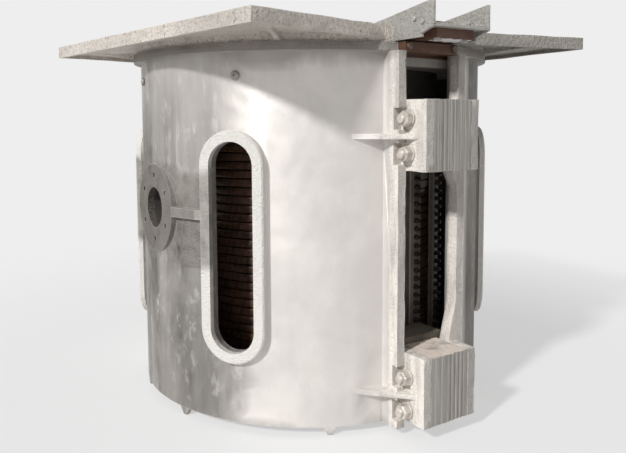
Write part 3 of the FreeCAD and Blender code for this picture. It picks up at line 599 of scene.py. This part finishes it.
def board_material(name, dark, light, layer, shine, direction, rubbed_and_highlight=None):
    """Pressed board: thin layers along one direction, with rubbed edges and some dust. Pale edges, where given, are
    rubbed and also a painted highlight.
    """
    material, tree, surface = new_material(name)
    place = add(tree, "TexCoord").outputs["Object"]
    layers = add(tree, "TexWave", {"Vector": place, "Scale": 0.31 / layer, "Distortion": 1.5,
                                   "Detail": 3.0, "Detail Scale": 2.0}, bands_direction=direction)
    marks = use(tree, stains, Patches=9.0, Runs=60.0, Spots=80.0, Stretch=1.0)
    skin = use(tree, grain, Grain=500.0, Pits=200.0, Swells=20.0)
    worn = use(tree, edges, Width=0.007 if rubbed_and_highlight else 0.0025)["Edge"]
    lies = use(tree, dust, Size=24.0)["Dust"]
    colour = mixed(tree, ranged(tree, marks["Patch"], 0, 1, 0.1, 0.7), dark, light)
    colour = mixed(tree, ranged(tree, layers.outputs[0], 0, 1, 0.0, 0.3), colour, light)
    colour = mixed(tree, ranged(tree, worn, 0, 1, 0.0, 0.8 if rubbed_and_highlight else 0.5), colour, rubbed_and_highlight or light)
    colour = mixed(tree, ranged(tree, lies, 0, 1, 0.0, 0.4), colour, (0.40, 0.37, 0.33, 1))
    feed(tree, surface.inputs["Base Color"], colour)
    feed(tree, surface.inputs["Roughness"], ranged(tree, marks["Run"], 0, 1, shine, shine + 0.25))
    height = sums(tree, "ADD", sums(tree, "MULTIPLY", layers.outputs[0], 0.3), skin["Grain"])
    raised(tree, surface, height, 0.5, 0.0006)
    return material


joint_board = board_material("dark joint board", strip_dark, strip_brown, 0.003, 0.55, "X")
for end in ("front", "rear"):
    node = "deck_joint_strip_" + end
    dressed(node + "_board", tidy_copy(node), joint_board, [node], strip_edge)


# Insulating packs
# Stacks of thin varnished boards clamped between the ears of the two shell halves. The boards are
# cut by hand, so their ends and tops don't line up, and the varnish has aged to grey.
board_thickness = 0.0072
board_setback = 0.0024
board_edge = 0.0007
board_top_ragged = 0.0022
pack_grey = (0.27, 0.255, 0.245, 1)
pack_pale = (0.47, 0.44, 0.40, 1)
pack_dark = (0.11, 0.10, 0.09, 1)
pack_dust = (0.78, 0.67, 0.59, 1)


def pack_material():
    material, tree, surface = new_material("aged pack boards")
    x = add(tree, "SeparateXYZ", {0: add(tree, "TexCoord").outputs["Object"]}).outputs["X"]
    number = add(tree, "Math", {0: sums(tree, "DIVIDE", x, board_thickness)}, operation="FLOOR")
    tone = add(tree, "TexWhiteNoise", {"W": number}, noise_dimensions="1D").outputs["Value"]
    tall = use(tree, stains, Patches=16.0, Runs=120.0, Spots=60.0, Stretch=12.0)
    skin = use(tree, grain, Grain=600.0, Pits=150.0, Swells=20.0)
    worn = use(tree, edges, Width=0.003)["Edge"]
    lies = use(tree, dust, Size=14.0)["Dust"]
    colour = mixed(tree, ranged(tree, tone, 0, 1, 0.0, 0.45), pack_grey, pack_pale)
    colour = mixed(tree, ranged(tree, tall["Run"], 0, 1, 0.0, 0.6), colour, pack_dark)
    colour = mixed(tree, ranged(tree, tall["Patch"], 0, 1, 0.0, 0.45), colour, pack_pale)
    colour = mixed(tree, ranged(tree, worn, 0, 1, 0.0, 0.5), colour, pack_pale)
    colour = mixed(tree, ranged(tree, lies, 0, 0.3), colour, pack_dust)
    feed(tree, surface.inputs["Base Color"], colour)
    feed(tree, surface.inputs["Roughness"], ranged(tree, tall["Run"], 0, 1, 0.45, 0.75))
    raised(tree, surface, sums(tree, "ADD", skin["Grain"], tall["Run"]), 0.6, 0.0008)
    return material


def add_board(bm, low, high, chance):
    "One board of a stack, with a ragged upper edge."
    cuts = 6
    ragged = []
    for i in range(cuts + 1):
        y = low.y + (high.y - low.y) * i / cuts
        ragged.append((y, high.z - board_top_ragged * chance.random()))
    rim = [(low.y, low.z), (high.y, low.z)] + ragged[::-1]
    sides = []
    for x in (low.x, high.x):
        sides.append([bm.verts.new((x, y, z)) for y, z in rim])
    bm.faces.new(sides[0])
    bm.faces.new(sides[1][::-1])
    for i in range(len(rim)):
        j = (i + 1) % len(rim)
        bm.faces.new((sides[0][j], sides[0][i], sides[1][i], sides[1][j]))


def make_pack(node, seed):
    low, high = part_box(node)
    front = low.y < 0
    chance = random.Random(seed)
    count = round((high.x - low.x) / board_thickness)
    step = (high.x - low.x) / count
    bm = bmesh.new()
    for i in range(count):
        back = board_setback * chance.random() ** 2
        drop = board_setback * 0.6 * chance.random() ** 2
        near = low.y + back if front else low.y
        far = high.y if front else high.y - back
        start = Vector((low.x + i * step + 0.0001, near, low.z + drop))
        end = Vector((low.x + (i + 1) * step - 0.0001, far, high.z))
        add_board(bm, start, end, chance)
    bmesh.ops.recalc_face_normals(bm, faces=bm.faces)
    dressed(node + "_boards", bm, pack_boards, [node], board_edge, 1)


pack_boards = pack_material()
for seed, node in enumerate(("pack_front_upper", "pack_front_lower", "pack_rear_upper", "pack_rear_lower")):
    make_pack(node, seed + 11)


# Pack studs
# Eight threaded studs of 24 mm through the ears and boards, with plain washers and hexagon nuts
# at both ends, painted over with the same pale paint as the ears.
stud_radius = 0.012
stud_spacing = 0.091
stud_line = 0.609
thread_pitch = 0.003
thread_depth = 0.0012
washer_radius = 0.022
washer_thickness = 0.005
nut_flats = 0.036
nut_height = 0.020
nut_bevel = 0.0022
paint_cream = (0.66, 0.60, 0.54, 1)
paint_grey = (0.36, 0.33, 0.30, 1)


def turned_to(place, direction):
    "Moves what is made along +Z to a place, pointing in a direction."
    turn = Vector(direction).to_track_quat("Z", "X").to_matrix().to_4x4()
    return Matrix.Translation(place) @ turn


def add_turning(bm, profile, place, direction, steps=28):
    "A turned form: radius and height pairs swept round an axis, closed at both ends."
    move = turned_to(place, direction)
    rings = []
    for radius, height in profile:
        ring = []
        for i in range(steps):
            a = 2 * math.pi * i / steps
            ring.append(bm.verts.new(move @ Vector((radius * math.cos(a), radius * math.sin(a), height))))
        rings.append(ring)
    for one, two in zip(rings, rings[1:]):
        for i in range(steps):
            j = (i + 1) % steps
            bm.faces.new((one[i], one[j], two[j], two[i]))
    bm.faces.new(rings[0][::-1])
    bm.faces.new(rings[-1])


def add_thread(bm, place, direction, radius, length, pitch, depth):
    "A threaded end, as a run of crests and roots with a bevelled tip."
    profile = [(radius - depth, 0.0)]
    height = 0.0
    while height + pitch < length:
        profile.append((radius, height + 0.35 * pitch))
        profile.append((radius - depth, height + 0.85 * pitch))
        height += pitch
    profile.append((radius - 1.6 * depth, length))
    add_turning(bm, profile, place, direction, 20)


def add_washer(bm, place, direction, radius, thickness):
    soft = 0.16 * thickness
    profile = [(radius - soft, 0.0), (radius, soft), (radius, thickness - soft), (radius - soft, thickness)]
    add_turning(bm, profile, place, direction, 32)


def add_nut(bm, place, direction, flats, height, spin=0.0):
    "A hexagon nut or bolt head whose corners are turned down at the top."
    move = turned_to(place, direction)
    corner = flats / math.sqrt(3)
    inner = flats * 0.47
    rows = []
    for z, shrink in ((0.0, 1.0), (height * 0.86, 1.0), (height, 0.0)):
        row = []
        for i in range(12):
            a = math.pi * i / 6 + spin
            reach = corner if i % 2 == 0 else flats / 2
            reach = inner + (reach - inner) * shrink
            row.append(bm.verts.new(move @ Vector((reach * math.cos(a), reach * math.sin(a), z))))
        rows.append(row)
    for one, two in zip(rows, rows[1:]):
        for i in range(12):
            j = (i + 1) % 12
            bm.faces.new((one[i], one[j], two[j], two[i]))
    bm.faces.new(rows[0][::-1])
    bm.faces.new(rows[-1])


def fastener_material(name, light, dark, metal):
    "Nuts, bolts and screws: handled, a little rusty in the corners."
    material, tree, surface = new_material(name)
    marks = use(tree, stains, Patches=40.0, Runs=120.0, Spots=160.0, Stretch=1.0)
    skin = use(tree, grain, Grain=700.0, Pits=300.0, Swells=40.0)
    worn = use(tree, edges, Width=0.0015)["Edge"]
    colour = mixed(tree, ranged(tree, marks["Patch"], 0, 1, 0.0, 0.8), light, dark)
    colour = mixed(tree, ranged(tree, marks["Spot"], 0, 1, 0.0, 0.4), colour, (0.22, 0.12, 0.07, 1))
    colour = mixed(tree, ranged(tree, worn, 0, 1, 0.0, 0.5), colour, light)
    feed(tree, surface.inputs["Base Color"], colour)
    feed(tree, surface.inputs["Metallic"], metal)
    feed(tree, surface.inputs["Roughness"], ranged(tree, marks["Run"], 0, 1, 0.40, 0.65))
    raised(tree, surface, skin["Grain"], 0.5, 0.0004)
    return material


def pack_stud_levels():
    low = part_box("pack_front_lower")[0].z + 0.031
    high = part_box("pack_front_upper")[0].z + 0.045
    return [low, low + stud_spacing, high, high + stud_spacing]


def make_pack_studs():
    bm = bmesh.new()
    chance = random.Random(5)
    seat = 0.093
    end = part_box("pack_studs")[1].x
    for y in (-stud_line, stud_line):
        for z in pack_stud_levels():
            add_turning(bm, [(stud_radius - thread_depth, -seat), (stud_radius - thread_depth, seat)], (0, y, z), (1, 0, 0), 20)
            for way in (-1, 1):
                out = Vector((way, 0, 0))
                face = Vector((way * seat, y, z))
                add_washer(bm, face, out, washer_radius, washer_thickness)
                spin = chance.random() * math.pi / 3
                add_nut(bm, face + out * washer_thickness, out, nut_flats, nut_height, spin)
                top = face + out * (washer_thickness + nut_height)
                add_thread(bm, top, out, stud_radius, end - seat - washer_thickness - nut_height,
                           thread_pitch, thread_depth)
    bmesh.ops.recalc_face_normals(bm, faces=bm.faces)
    dressed("pack_studs_threaded", bm, painted_steel, ["pack_studs"])


painted_steel = fastener_material("painted steel", paint_cream, paint_grey, 0.15)
make_pack_studs()


# Insulating blocks in the collar joint
# Brown pressed board between the ends of the collar, each held by two bolts from outside.
block_edge = 0.0015
bakelite_brown = (0.062, 0.027, 0.015, 1)
bakelite_red = (0.120, 0.055, 0.031, 1)
collar_bolt_radius = 0.006
collar_bolt_flats = 0.018
collar_bolt_head = 0.0075

bakelite = board_material("brown pressed board", bakelite_brown, bakelite_red, 0.004, 0.55, "Z")
for end in ("front", "rear"):
    node = "collar_block_" + end
    dressed(node + "_board", tidy_copy(node), bakelite, [node], block_edge)


# Collar bolts
# Short bolts through the brown blocks into the ends of the collar, their heads outside.
def make_collar_bolts():
    low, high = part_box("collar_block_front")
    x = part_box("collar_block_bolts")[1].x - collar_bolt_flats / 2
    z = (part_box("collar_block_bolts")[0].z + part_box("collar_block_bolts")[1].z) / 2
    bm = bmesh.new()
    for way in (-1, 1):
        for side in (-1, 1):
            seat = Vector((side * x, way * -low.y, z))
            out = Vector((0, way, 0))
            add_nut(bm, seat, out, collar_bolt_flats, collar_bolt_head, side * 0.3)
            shank = [(collar_bolt_radius, 0.0), (collar_bolt_radius, high.y - low.y)]
            add_turning(bm, shank, seat, -out, 16)
    bmesh.ops.recalc_face_normals(bm, faces=bm.faces)
    dressed("collar_bolts", bm, rusty_steel, ["collar_block_bolts"])


steel_light = (0.40, 0.38, 0.36, 1)
steel_dark = (0.16, 0.14, 0.125, 1)
rusty_steel = fastener_material("rusty steel", (0.13, 0.085, 0.06, 1), (0.06, 0.04, 0.03, 1), 0.1)
plated_steel = fastener_material("plated steel", steel_light, steel_dark, 0.5)
make_collar_bolts()


# Spout
# Two flame-cut steel cheeks that taper back, a floor plate and a low cross plate between them,
# bolted down on a brown insulating block.
cheek_edge = 0.0012
cheek_wave = 0.0009
cheek_wave_length = 0.04
cheek_mesh_step = 0.02
spout_light = (0.52, 0.50, 0.46, 1)
spout_grey = (0.33, 0.315, 0.30, 1)
spout_dirt = (0.19, 0.155, 0.13, 1)
mica_from = -0.035
mica_to = 0.062
mica_depth = 0.062
spout_bolt_radius = 0.006
spout_bolt_flats = 0.018
spout_bolt_inset = 0.018
cheek_bolt_flats = 0.012
cheek_bolt_places = ((0.066, 0.008), (0.036, -0.002))

spout_steel = casting_material("spout plate", spout_light, spout_grey, spout_dirt, 300.0, 0.45)
for seed, node in enumerate(("spout_cheek_left", "spout_cheek_right")):
    bm = tidy_copy(node)
    cut_finer(bm, cheek_mesh_step)
    roughen(bm, cheek_wave, cheek_wave_length, 20.0 + seed, node)
    dressed(node + "_plate", bm, spout_steel, [node], cheek_edge)
for node in ("spout_floor", "spout_weir"):
    dressed(node + "_plate", tidy_copy(node), spout_steel, [node], cheek_edge)
dressed("spout_block_board", tidy_copy("spout_insulating_block"), bakelite,
        ["spout_insulating_block"], block_edge)


def make_mica_sheet():
    "A torn sheet of mica that shows under the brown block."
    low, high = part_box("spout_insulating_block")
    chance = random.Random(9)
    steps = 14
    bm = bmesh.new()
    rows = []
    for level in (low.z - 0.0004, low.z - 0.0016):
        near = []
        far = []
        for i in range(steps + 1):
            x = mica_from + (mica_to - mica_from) * i / steps
            torn = 0.006 * math.sin(i * 1.3)
            near.append(Vector((x, low.y + 0.010 + torn, level)))
            far.append(Vector((x, low.y + mica_depth - torn, level)))
        rows.append([bm.verts.new(v) for v in near + far[::-1]])
    for v in rows[1]:
        v.co.x += 0.001 * chance.random()
    bm.faces.new(rows[0])
    bm.faces.new(rows[1][::-1])
    count = len(rows[0])
    for i in range(count):
        j = (i + 1) % count
        bm.faces.new((rows[0][j], rows[0][i], rows[1][i], rows[1][j]))
    bmesh.ops.recalc_face_normals(bm, faces=bm.faces)
    sheet = board_material("mica sheet", (0.80, 0.77, 0.78, 1), (0.92, 0.89, 0.90, 1), 0.002, 0.35, "Z")
    dressed("spout_mica_sheet", bm, sheet, [])


make_mica_sheet()


def make_spout_bolts():
    block_low, block_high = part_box("spout_insulating_block")
    floor_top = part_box("spout_floor")[1].z
    deck_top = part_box("deck_half_left")[1].z
    plate_low, plate_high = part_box("spout_cheek_right")
    bm = bmesh.new()
    for side in (-1, 1):
        x = side * (block_high.x - spout_bolt_inset)
        y = block_low.y + spout_bolt_inset
        shank = [(spout_bolt_radius, 0.0), (spout_bolt_radius, floor_top - block_low.z)]
        add_turning(bm, shank, (x, y, block_low.z), (0, 0, 1), 16)
        add_nut(bm, (x, y, block_low.z), (0, 0, -1), spout_bolt_flats, 0.0072, side * 0.4)
        add_nut(bm, (x, y, floor_top), (0, 0, 1), spout_bolt_flats, 0.0096, side * 0.2)
        for behind, rise in cheek_bolt_places:
            y = plate_low.y + behind
            z = deck_top + rise
            outer = Vector((side * plate_high.x, y, z))
            inner = Vector((side * plate_low.x, y, z))
            add_nut(bm, outer, (side, 0, 0), cheek_bolt_flats, 0.0048, behind * 9)
            add_nut(bm, inner, (-side, 0, 0), cheek_bolt_flats, 0.0048, behind * 5)
    bmesh.ops.recalc_face_normals(bm, faces=bm.faces)
    dressed("spout_bolt_set", bm, plate_bolts, ["spout_bolts"])


plate_bolts = fastener_material("spout bolts", (0.46, 0.44, 0.41, 1), spout_grey, 0.1)
make_spout_bolts()


# Induction coil
# One long hollow copper bar of oblong section, wound in 24 turns round the crucible, wrapped in
# overlapping glass tape and soaked in dark brown varnish. Its ends turn out at the back.
coil_radius = 0.404
coil_turns = 24
coil_width = 0.0205
coil_height = 0.0222
coil_corner = 0.0045
coil_lead_offset = 0.045
coil_lead_bend = 0.048
coil_steps = 80
tape_width = 0.020
varnish_brown = (0.105, 0.050, 0.030, 1)
varnish_dark = (0.030, 0.017, 0.012, 1)
varnish_worn = (0.26, 0.15, 0.095, 1)
# A pale patch on the turns between two front posts: a painted pool of light.
tape_painted_light = (0.74, 0.68, 0.66, 1)
painted_light_place = (0.155, -0.372, 0.675)
painted_light_reach = 0.052


def coil_route():
    "Points of the coil's middle line: lead in, turns, lead out."
    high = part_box("induction_coil")[1]
    half = (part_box("terminal_block_lower")[1].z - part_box("terminal_block_lower")[0].z) / 2
    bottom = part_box("terminal_block_lower")[0].z + half
    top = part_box("terminal_block_upper")[0].z + half
    tilt = math.asin(coil_lead_offset / coil_radius)
    start = math.pi + tilt
    end = math.pi - tilt + 2 * math.pi * coil_turns
    turns = []
    count = coil_steps * coil_turns
    for i in range(count + 1):
        a = start + (end - start) * i / count
        rise = bottom + (top - bottom) * i / count
        turns.append(Vector((coil_radius * math.sin(a), -coil_radius * math.cos(a), rise)))
    lead = coil_radius + coil_lead_bend
    lead_in = lead_bend(Vector((0, lead, bottom)), turns[0], Vector((0, -1, 0)), turns[1] - turns[0])
    lead_out = lead_bend(Vector((0, lead, top)), turns[-1], Vector((0, -1, 0)), turns[-2] - turns[-1])
    first = Vector((0, high.y, bottom))
    last = Vector((0, high.y, top))
    return [first] + lead_in + turns + lead_out[::-1] + [last]


def lead_bend(start, end, way_in, way_out):
    "A smooth bend from the straight lead to the first point of the turns, which it leaves out."
    reach = (end - start).length * 1.2
    way_in = way_in.normalized() * reach
    way_out = way_out.normalized() * reach
    points = []
    for i in range(10):
        t = i / 10
        a = 2 * t ** 3 - 3 * t ** 2 + 1
        b = t ** 3 - 2 * t ** 2 + t
        c = 3 * t ** 2 - 2 * t ** 3
        d = t ** 3 - t ** 2
        points.append(a * start + b * way_in + c * end + d * way_out)
    return points


def coil_section():
    "The outline of the bar, with round corners, as sideways and upward distances."
    outline = []
    for quarter in range(4):
        a0 = quarter * math.pi / 2
        sx = 1 if quarter in (0, 3) else -1
        sz = 1 if quarter in (0, 1) else -1
        for i in range(3):
            a = a0 + i * math.pi / 4
            x = sx * (coil_width / 2 - coil_corner) + coil_corner * math.cos(a)
            z = sz * (coil_height / 2 - coil_corner) + coil_corner * math.sin(a)
            outline.append((x, z))
    return outline


def varnish_material():
    material, tree, surface = new_material("varnished tape")
    place = add(tree, "TexCoord").outputs["Object"]
    x, y, z = add(tree, "SeparateXYZ", {0: place}).outputs
    round_way = add(tree, "Math", {0: x, 1: y}, operation="ARCTAN2").outputs[0]
    along = sums(tree, "MULTIPLY", round_way, coil_radius / tape_width)
    lean = sums(tree, "MULTIPLY", z, 14.0)
    wrap = add(tree, "Math", {0: sums(tree, "ADD", along, lean)}, operation="FRACT").outputs[0]
    marks = use(tree, stains, Patches=12.0, Runs=60.0, Spots=110.0, Stretch=1.0)
    skin = use(tree, grain, Grain=600.0, Pits=200.0, Swells=50.0)
    worn = use(tree, edges, Width=0.002)["Edge"]
    colour = mixed(tree, marks["Patch"], varnish_brown, varnish_dark)
    colour = mixed(tree, ranged(tree, wrap, 0.0, 0.16, 0.45, 0.0), colour, varnish_worn)
    colour = mixed(tree, ranged(tree, worn, 0, 1, 0.0, 0.55), colour, varnish_worn)
    colour = mixed(tree, ranged(tree, marks["Run"], 0, 1, 0.0, 0.35), colour, varnish_worn)
    # Painted light: a pale patch on the turns round one place.
    away = add(tree, "VectorMath", {0: place, 1: painted_light_place}, operation="DISTANCE").outputs["Value"]
    away = sums(tree, "ADD", away, sums(tree, "MULTIPLY", marks["Patch"], 0.008))
    colour = mixed(tree, ranged(tree, away, painted_light_reach + 0.006, painted_light_reach, 0.0, 0.9), colour, tape_painted_light)
    feed(tree, surface.inputs["Base Color"], colour)
    feed(tree, surface.inputs["Roughness"], ranged(tree, marks["Run"], 0, 1, 0.38, 0.62))
    raised(tree, surface, sums(tree, "ADD", wrap, skin["Swell"]), 0.8, 0.001)
    return material


def make_coil():
    route = coil_route()
    outline = coil_section()
    bm = bmesh.new()
    rings = []
    for i, point in enumerate(route):
        ahead = route[min(i + 1, len(route) - 1)] - route[max(i - 1, 0)]
        side = Vector((ahead.y, -ahead.x, 0)).normalized()
        up = side.cross(ahead).normalized()
        if up.z < 0:
            up = -up
        rings.append([bm.verts.new(point + side * s + up * t) for s, t in outline])
    count = len(outline)
    for one, two in zip(rings, rings[1:]):
        for i in range(count):
            j = (i + 1) % count
            bm.faces.new((one[i], one[j], two[j], two[i]))
    bm.faces.new(rings[0])
    bm.faces.new(rings[-1][::-1])
    bmesh.ops.recalc_face_normals(bm, faces=bm.faces)
    dressed("wound_coil", bm, varnished_tape, ["induction_coil"])


varnished_tape = varnish_material()
make_coil()


# Coil posts and their nuts
# Ten upright boards round the coil. A brass stud on every turn passes through each board and is
# drawn up with a nut, which keeps the turns apart and the coil round.
post_edge = 0.0016
post_grey = (0.30, 0.27, 0.235, 1)
post_brown = (0.16, 0.125, 0.095, 1)
post_rubbed_and_highlight = (0.78, 0.73, 0.66, 1)
post_angles = (13.0, 33.0, 90.0, 147.0, 167.0)
post_face = 0.4336
post_nut_flats = 0.014
post_nut_height = 0.009
post_stud_radius = 0.005
post_stud_length = 0.016

# The posts' wide pale edges are partly rubbed and partly a painted highlight.
post_board = board_material("post board", post_brown, post_grey, 0.0028, 0.5, "Z", post_rubbed_and_highlight)
for i in range(10):
    node = "coil_post_%02d" % (i + 1)
    dressed(node + "_board", tidy_copy(node), post_board, [node], post_edge)


def make_post_nuts():
    half = (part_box("terminal_block_lower")[1].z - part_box("terminal_block_lower")[0].z) / 2
    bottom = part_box("terminal_block_lower")[0].z + half
    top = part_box("terminal_block_upper")[0].z + half
    pitch = (top - bottom) / coil_turns
    chance = random.Random(31)
    bm = bmesh.new()
    for side in (-1, 1):
        for angle in post_angles:
            a = math.radians(side * angle)
            out = Vector((math.sin(a), -math.cos(a), 0))
            turn_share = (side * angle + 180) / 360
            for i in range(coil_turns):
                level = bottom + pitch * (i + turn_share)
                place = out * post_face + Vector((0, 0, level))
                add_nut(bm, place, out, post_nut_flats, post_nut_height, chance.random())
                stud = [(post_stud_radius, 0.0), (post_stud_radius, post_stud_length)]
                add_turning(bm, stud, place, out, 10)
    bmesh.ops.recalc_face_normals(bm, faces=bm.faces)
    dressed("post_nuts_and_studs", bm, brass, ["coil_post_nuts"])


brass = fastener_material("varnished brass", (0.050, 0.038, 0.028, 1), (0.022, 0.017, 0.013, 1), 0.0)
make_post_nuts()


# Terminals and power bars
# Bare copper: blocks brazed to the ends of the coil, flat bars bent out to the rear joint, and
# hose nipples with a barb for the cooling water.
copper_edge = 0.0012
copper_bright = (0.72, 0.36, 0.20, 1)
copper_brown = (0.33, 0.145, 0.08, 1)
copper_green = (0.24, 0.33, 0.27, 1)
nipple_radius = 0.009
barb_rise = 0.0013


def copper_material():
    material, tree, surface = new_material("bare copper")
    marks = use(tree, stains, Patches=14.0, Runs=70.0, Spots=90.0, Stretch=1.0)
    skin = use(tree, grain, Grain=500.0, Pits=200.0, Swells=30.0)
    worn = use(tree, edges, Width=0.002)["Edge"]
    colour = mixed(tree, marks["Patch"], copper_brown, copper_bright)
    colour = mixed(tree, ranged(tree, marks["Spot"], 0, 1, 0.0, 0.25), colour, copper_green)
    colour = mixed(tree, ranged(tree, worn, 0, 1, 0.0, 0.6), colour, copper_bright)
    feed(tree, surface.inputs["Base Color"], colour)
    feed(tree, surface.inputs["Metallic"], 0.9)
    feed(tree, surface.inputs["Roughness"], ranged(tree, marks["Run"], 0, 1, 0.32, 0.55))
    raised(tree, surface, skin["Grain"], 0.4, 0.0004)
    return material


bare_copper = copper_material()
for node in ("terminal_block_lower", "terminal_block_upper", "terminal_bar_lower", "terminal_bar_upper"):
    dressed(node + "_copper", tidy_copy(node), bare_copper, [node], copper_edge)


def make_nipples():
    low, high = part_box("terminal_nipples")
    bm = bmesh.new()
    for name, side in (("lower", 1), ("upper", -1)):
        block_low, block_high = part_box("terminal_block_" + name)
        middle = (block_low + block_high) / 2
        seat = Vector((side * (block_high.x - block_low.x) / 2, middle.y, middle.z))
        length = high.x - block_high.x
        profile = [(nipple_radius + 0.0027, 0.0), (nipple_radius + 0.0027, 0.004), (nipple_radius, 0.005)]
        reach = 0.012
        while reach + 0.006 < length:
            profile += [(nipple_radius - barb_rise, reach), (nipple_radius, reach + 0.001)]
            profile.append((nipple_radius - barb_rise, reach + 0.006))
            reach += 0.006
        profile.append((nipple_radius - 2 * barb_rise, length))
        add_turning(bm, profile, seat, (side, 0, 0), 28)
    bmesh.ops.recalc_face_normals(bm, faces=bm.faces)
    dressed("hose_nipples", bm, bare_copper, ["terminal_nipples"])


make_nipples()


# Crucible lining
# Dry refractory rammed round a former and sintered, so its skin is gritty and a little uneven,
# with fine cracks near the mouth.
lining_wave = 0.0018
lining_wave_length = 0.06
lining_mesh_step = 0.05
refractory_pale = (0.66, 0.62, 0.55, 1)
refractory_grey = (0.44, 0.41, 0.37, 1)
refractory_burnt = (0.24, 0.205, 0.17, 1)


def mineral_material(name, pale, grey, dark, size, painted_shade_from=None):
    "Rammed, cast or trowelled mineral stuff: gritty, blotched, cracked and dusty."
    material, tree, surface = new_material(name)
    marks = use(tree, stains, Patches=4.0, Runs=30.0, Spots=70.0, Stretch=1.0)
    skin = use(tree, grain, Grain=size, Pits=size / 3, Swells=18.0)
    place = add(tree, "TexCoord").outputs["Object"]
    crack = add(tree, "TexVoronoi", {"Vector": place, "Scale": 9.0}, feature="DISTANCE_TO_EDGE")
    crack = ranged(tree, crack.outputs["Distance"], 0.012, 0.003)
    crack = sums(tree, "MULTIPLY", crack, marks["Patch"])
    colour = mixed(tree, marks["Patch"], pale, grey)
    colour = mixed(tree, ranged(tree, skin["Grain"], 0.42, 0.66, 0.0, 0.5), colour, grey)
    colour = mixed(tree, ranged(tree, skin["Pit"], 0, 1, 0.0, 0.6), colour, dark)
    colour = mixed(tree, ranged(tree, crack, 0, 1, 0.0, 0.7), colour, dark)
    # Painted shade: outside a given radius the colour turns nearly black.
    if painted_shade_from:
        x, y, z = add(tree, "SeparateXYZ", {0: place}).outputs
        outer = ranged(tree, reach_of(tree, x, y), painted_shade_from, painted_shade_from + 0.004, 0.0, 0.9)
        colour = mixed(tree, outer, colour, painted_shade_black)
    feed(tree, surface.inputs["Base Color"], colour)
    feed(tree, surface.inputs["Roughness"], ranged(tree, marks["Run"], 0, 1, 0.80, 0.95))
    relief = sums(tree, "SUBTRACT", sums(tree, "MULTIPLY", skin["Grain"], 1.5), skin["Pit"])
    raised(tree, surface, sums(tree, "SUBTRACT", relief, crack), 0.9, 0.0015)
    return material


refractory = mineral_material("rammed lining", refractory_pale, refractory_grey, refractory_burnt, 260.0)
bm = tidy_copy("crucible_lining")
cut_finer(bm, lining_mesh_step)
roughen(bm, lining_wave, lining_wave_length, 41.0, "crucible_lining")
dressed("crucible_lining_rammed", bm, refractory, ["crucible_lining"], 0.004)


# Sleeve and coil grout
# A white sheet of mica and fibre lies round the lining, and trowelled grout covers the coil's
# inside. Both can hardly be seen once the furnace is lined.
fibre = mineral_material("mica and fibre", (0.80, 0.79, 0.75, 1), (0.66, 0.65, 0.62, 1), (0.42, 0.40, 0.37, 1), 500.0)
grout = mineral_material("coil grout", (0.60, 0.58, 0.54, 1), (0.42, 0.40, 0.37, 1), (0.22, 0.20, 0.18, 1), 320.0)
dressed("lining_sleeve_sheet", tidy_copy("lining_sleeve"), fibre, ["lining_sleeve"], 0.0006)
dressed("coil_grout_coat", tidy_copy("coil_grout"), grout, ["coil_grout"], 0.0010)


# Base board, base block and filler
# A pressed cement board lies on the shell's ledge, and the cast block on it carries the lining. A
# cast filler closes the foot of the front joint.
cement_pale = (0.52, 0.50, 0.46, 1)
cement_grey = (0.36, 0.345, 0.32, 1)
cement_dark = (0.19, 0.175, 0.16, 1)
castable_edge = 0.003

cement = mineral_material("cement board", cement_pale, cement_grey, cement_dark, 400.0)
castable = mineral_material("cast block", (0.56, 0.53, 0.48, 1), (0.40, 0.38, 0.35, 1), (0.20, 0.18, 0.16, 1), 200.0)
dressed("base_board_sheet", tidy_copy("base_board"), cement, ["base_board"], 0.0015)
sooted = mineral_material("sooted block", (0.20, 0.175, 0.13, 1), (0.12, 0.105, 0.085, 1), (0.05, 0.04, 0.035, 1), 200.0)
dressed("base_block_cast", tidy_copy("base_block"), castable, ["base_block"], castable_edge)
dressed("gap_filler_cast", tidy_copy("gap_filler_front"), sooted, ["gap_filler_front"], castable_edge)


# Top block, top rings and their brackets
# A cast block rings the lining's mouth. Below the deck a cement ring and a brown seal close the
# space round it, held by angle brackets on the shell's screws.
bracket_edge = 0.0012
# The top block's outer face, towards the coil, carries painted shade.
top_block_painted_shade = mineral_material("cast block with painted shade", (0.56, 0.53, 0.48, 1), (0.40, 0.38, 0.35, 1), (0.20, 0.18, 0.16, 1), 200.0, 0.395)
dressed("top_block_cast", tidy_copy("top_block"), top_block_painted_shade, ["top_block"], castable_edge)
dressed("top_ring_cement", tidy_copy("top_ring_board"), cement, ["top_ring_board"], 0.0015)
dressed("top_ring_seal_board", tidy_copy("top_ring_seal"), bakelite, ["top_ring_seal"], 0.0010)
dressed("ring_brackets_bent", tidy_copy("top_ring_brackets"), plated_steel,
        ["top_ring_brackets"], bracket_edge)


# Shell screws
# Short slotted screws below the collar, burred over and half filled with paint.
screw_angles = (54.0, 100.0, 146.0)
screw_radius = 0.012
screw_head = 0.0048
screw_slot = 0.0032


def make_shell_screws():
    low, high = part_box("shell_screws")
    z = (low.z + high.z) / 2
    ring = high.x / math.sin(math.radians(100.0)) - 0.005
    bm = bmesh.new()
    for side in (-1, 1):
        for angle in screw_angles:
            a = math.radians(side * angle)
            out = Vector((math.sin(a), -math.cos(a), 0))
            seat = out * ring + Vector((0, 0, z))
            profile = [(0.008, -0.028), (0.008, 0.0), (screw_radius, 0.0), (screw_radius, 0.6 * screw_head)]
            profile += [(screw_radius * 0.86, screw_head), (screw_radius * 0.34, screw_head)]
            profile += [(screw_radius * 0.30, screw_head - screw_slot)]
            add_turning(bm, profile, seat, out, 28)
    bmesh.ops.recalc_face_normals(bm, faces=bm.faces)
    dressed("shell_screw_heads", bm, plated_steel, ["shell_screws"])


make_shell_screws()


# Feet
# Small tapered lugs cast under the shell's rim, which the body stands on.
bm = tidy_copy("foot_lugs")
cut_finer(bm, 0.012)
roughen(bm, 0.0012, 0.02, 77.0, "foot_lugs")
dressed("foot_lugs_cast", bm, cast_aluminium, ["foot_lugs"], 0.002)
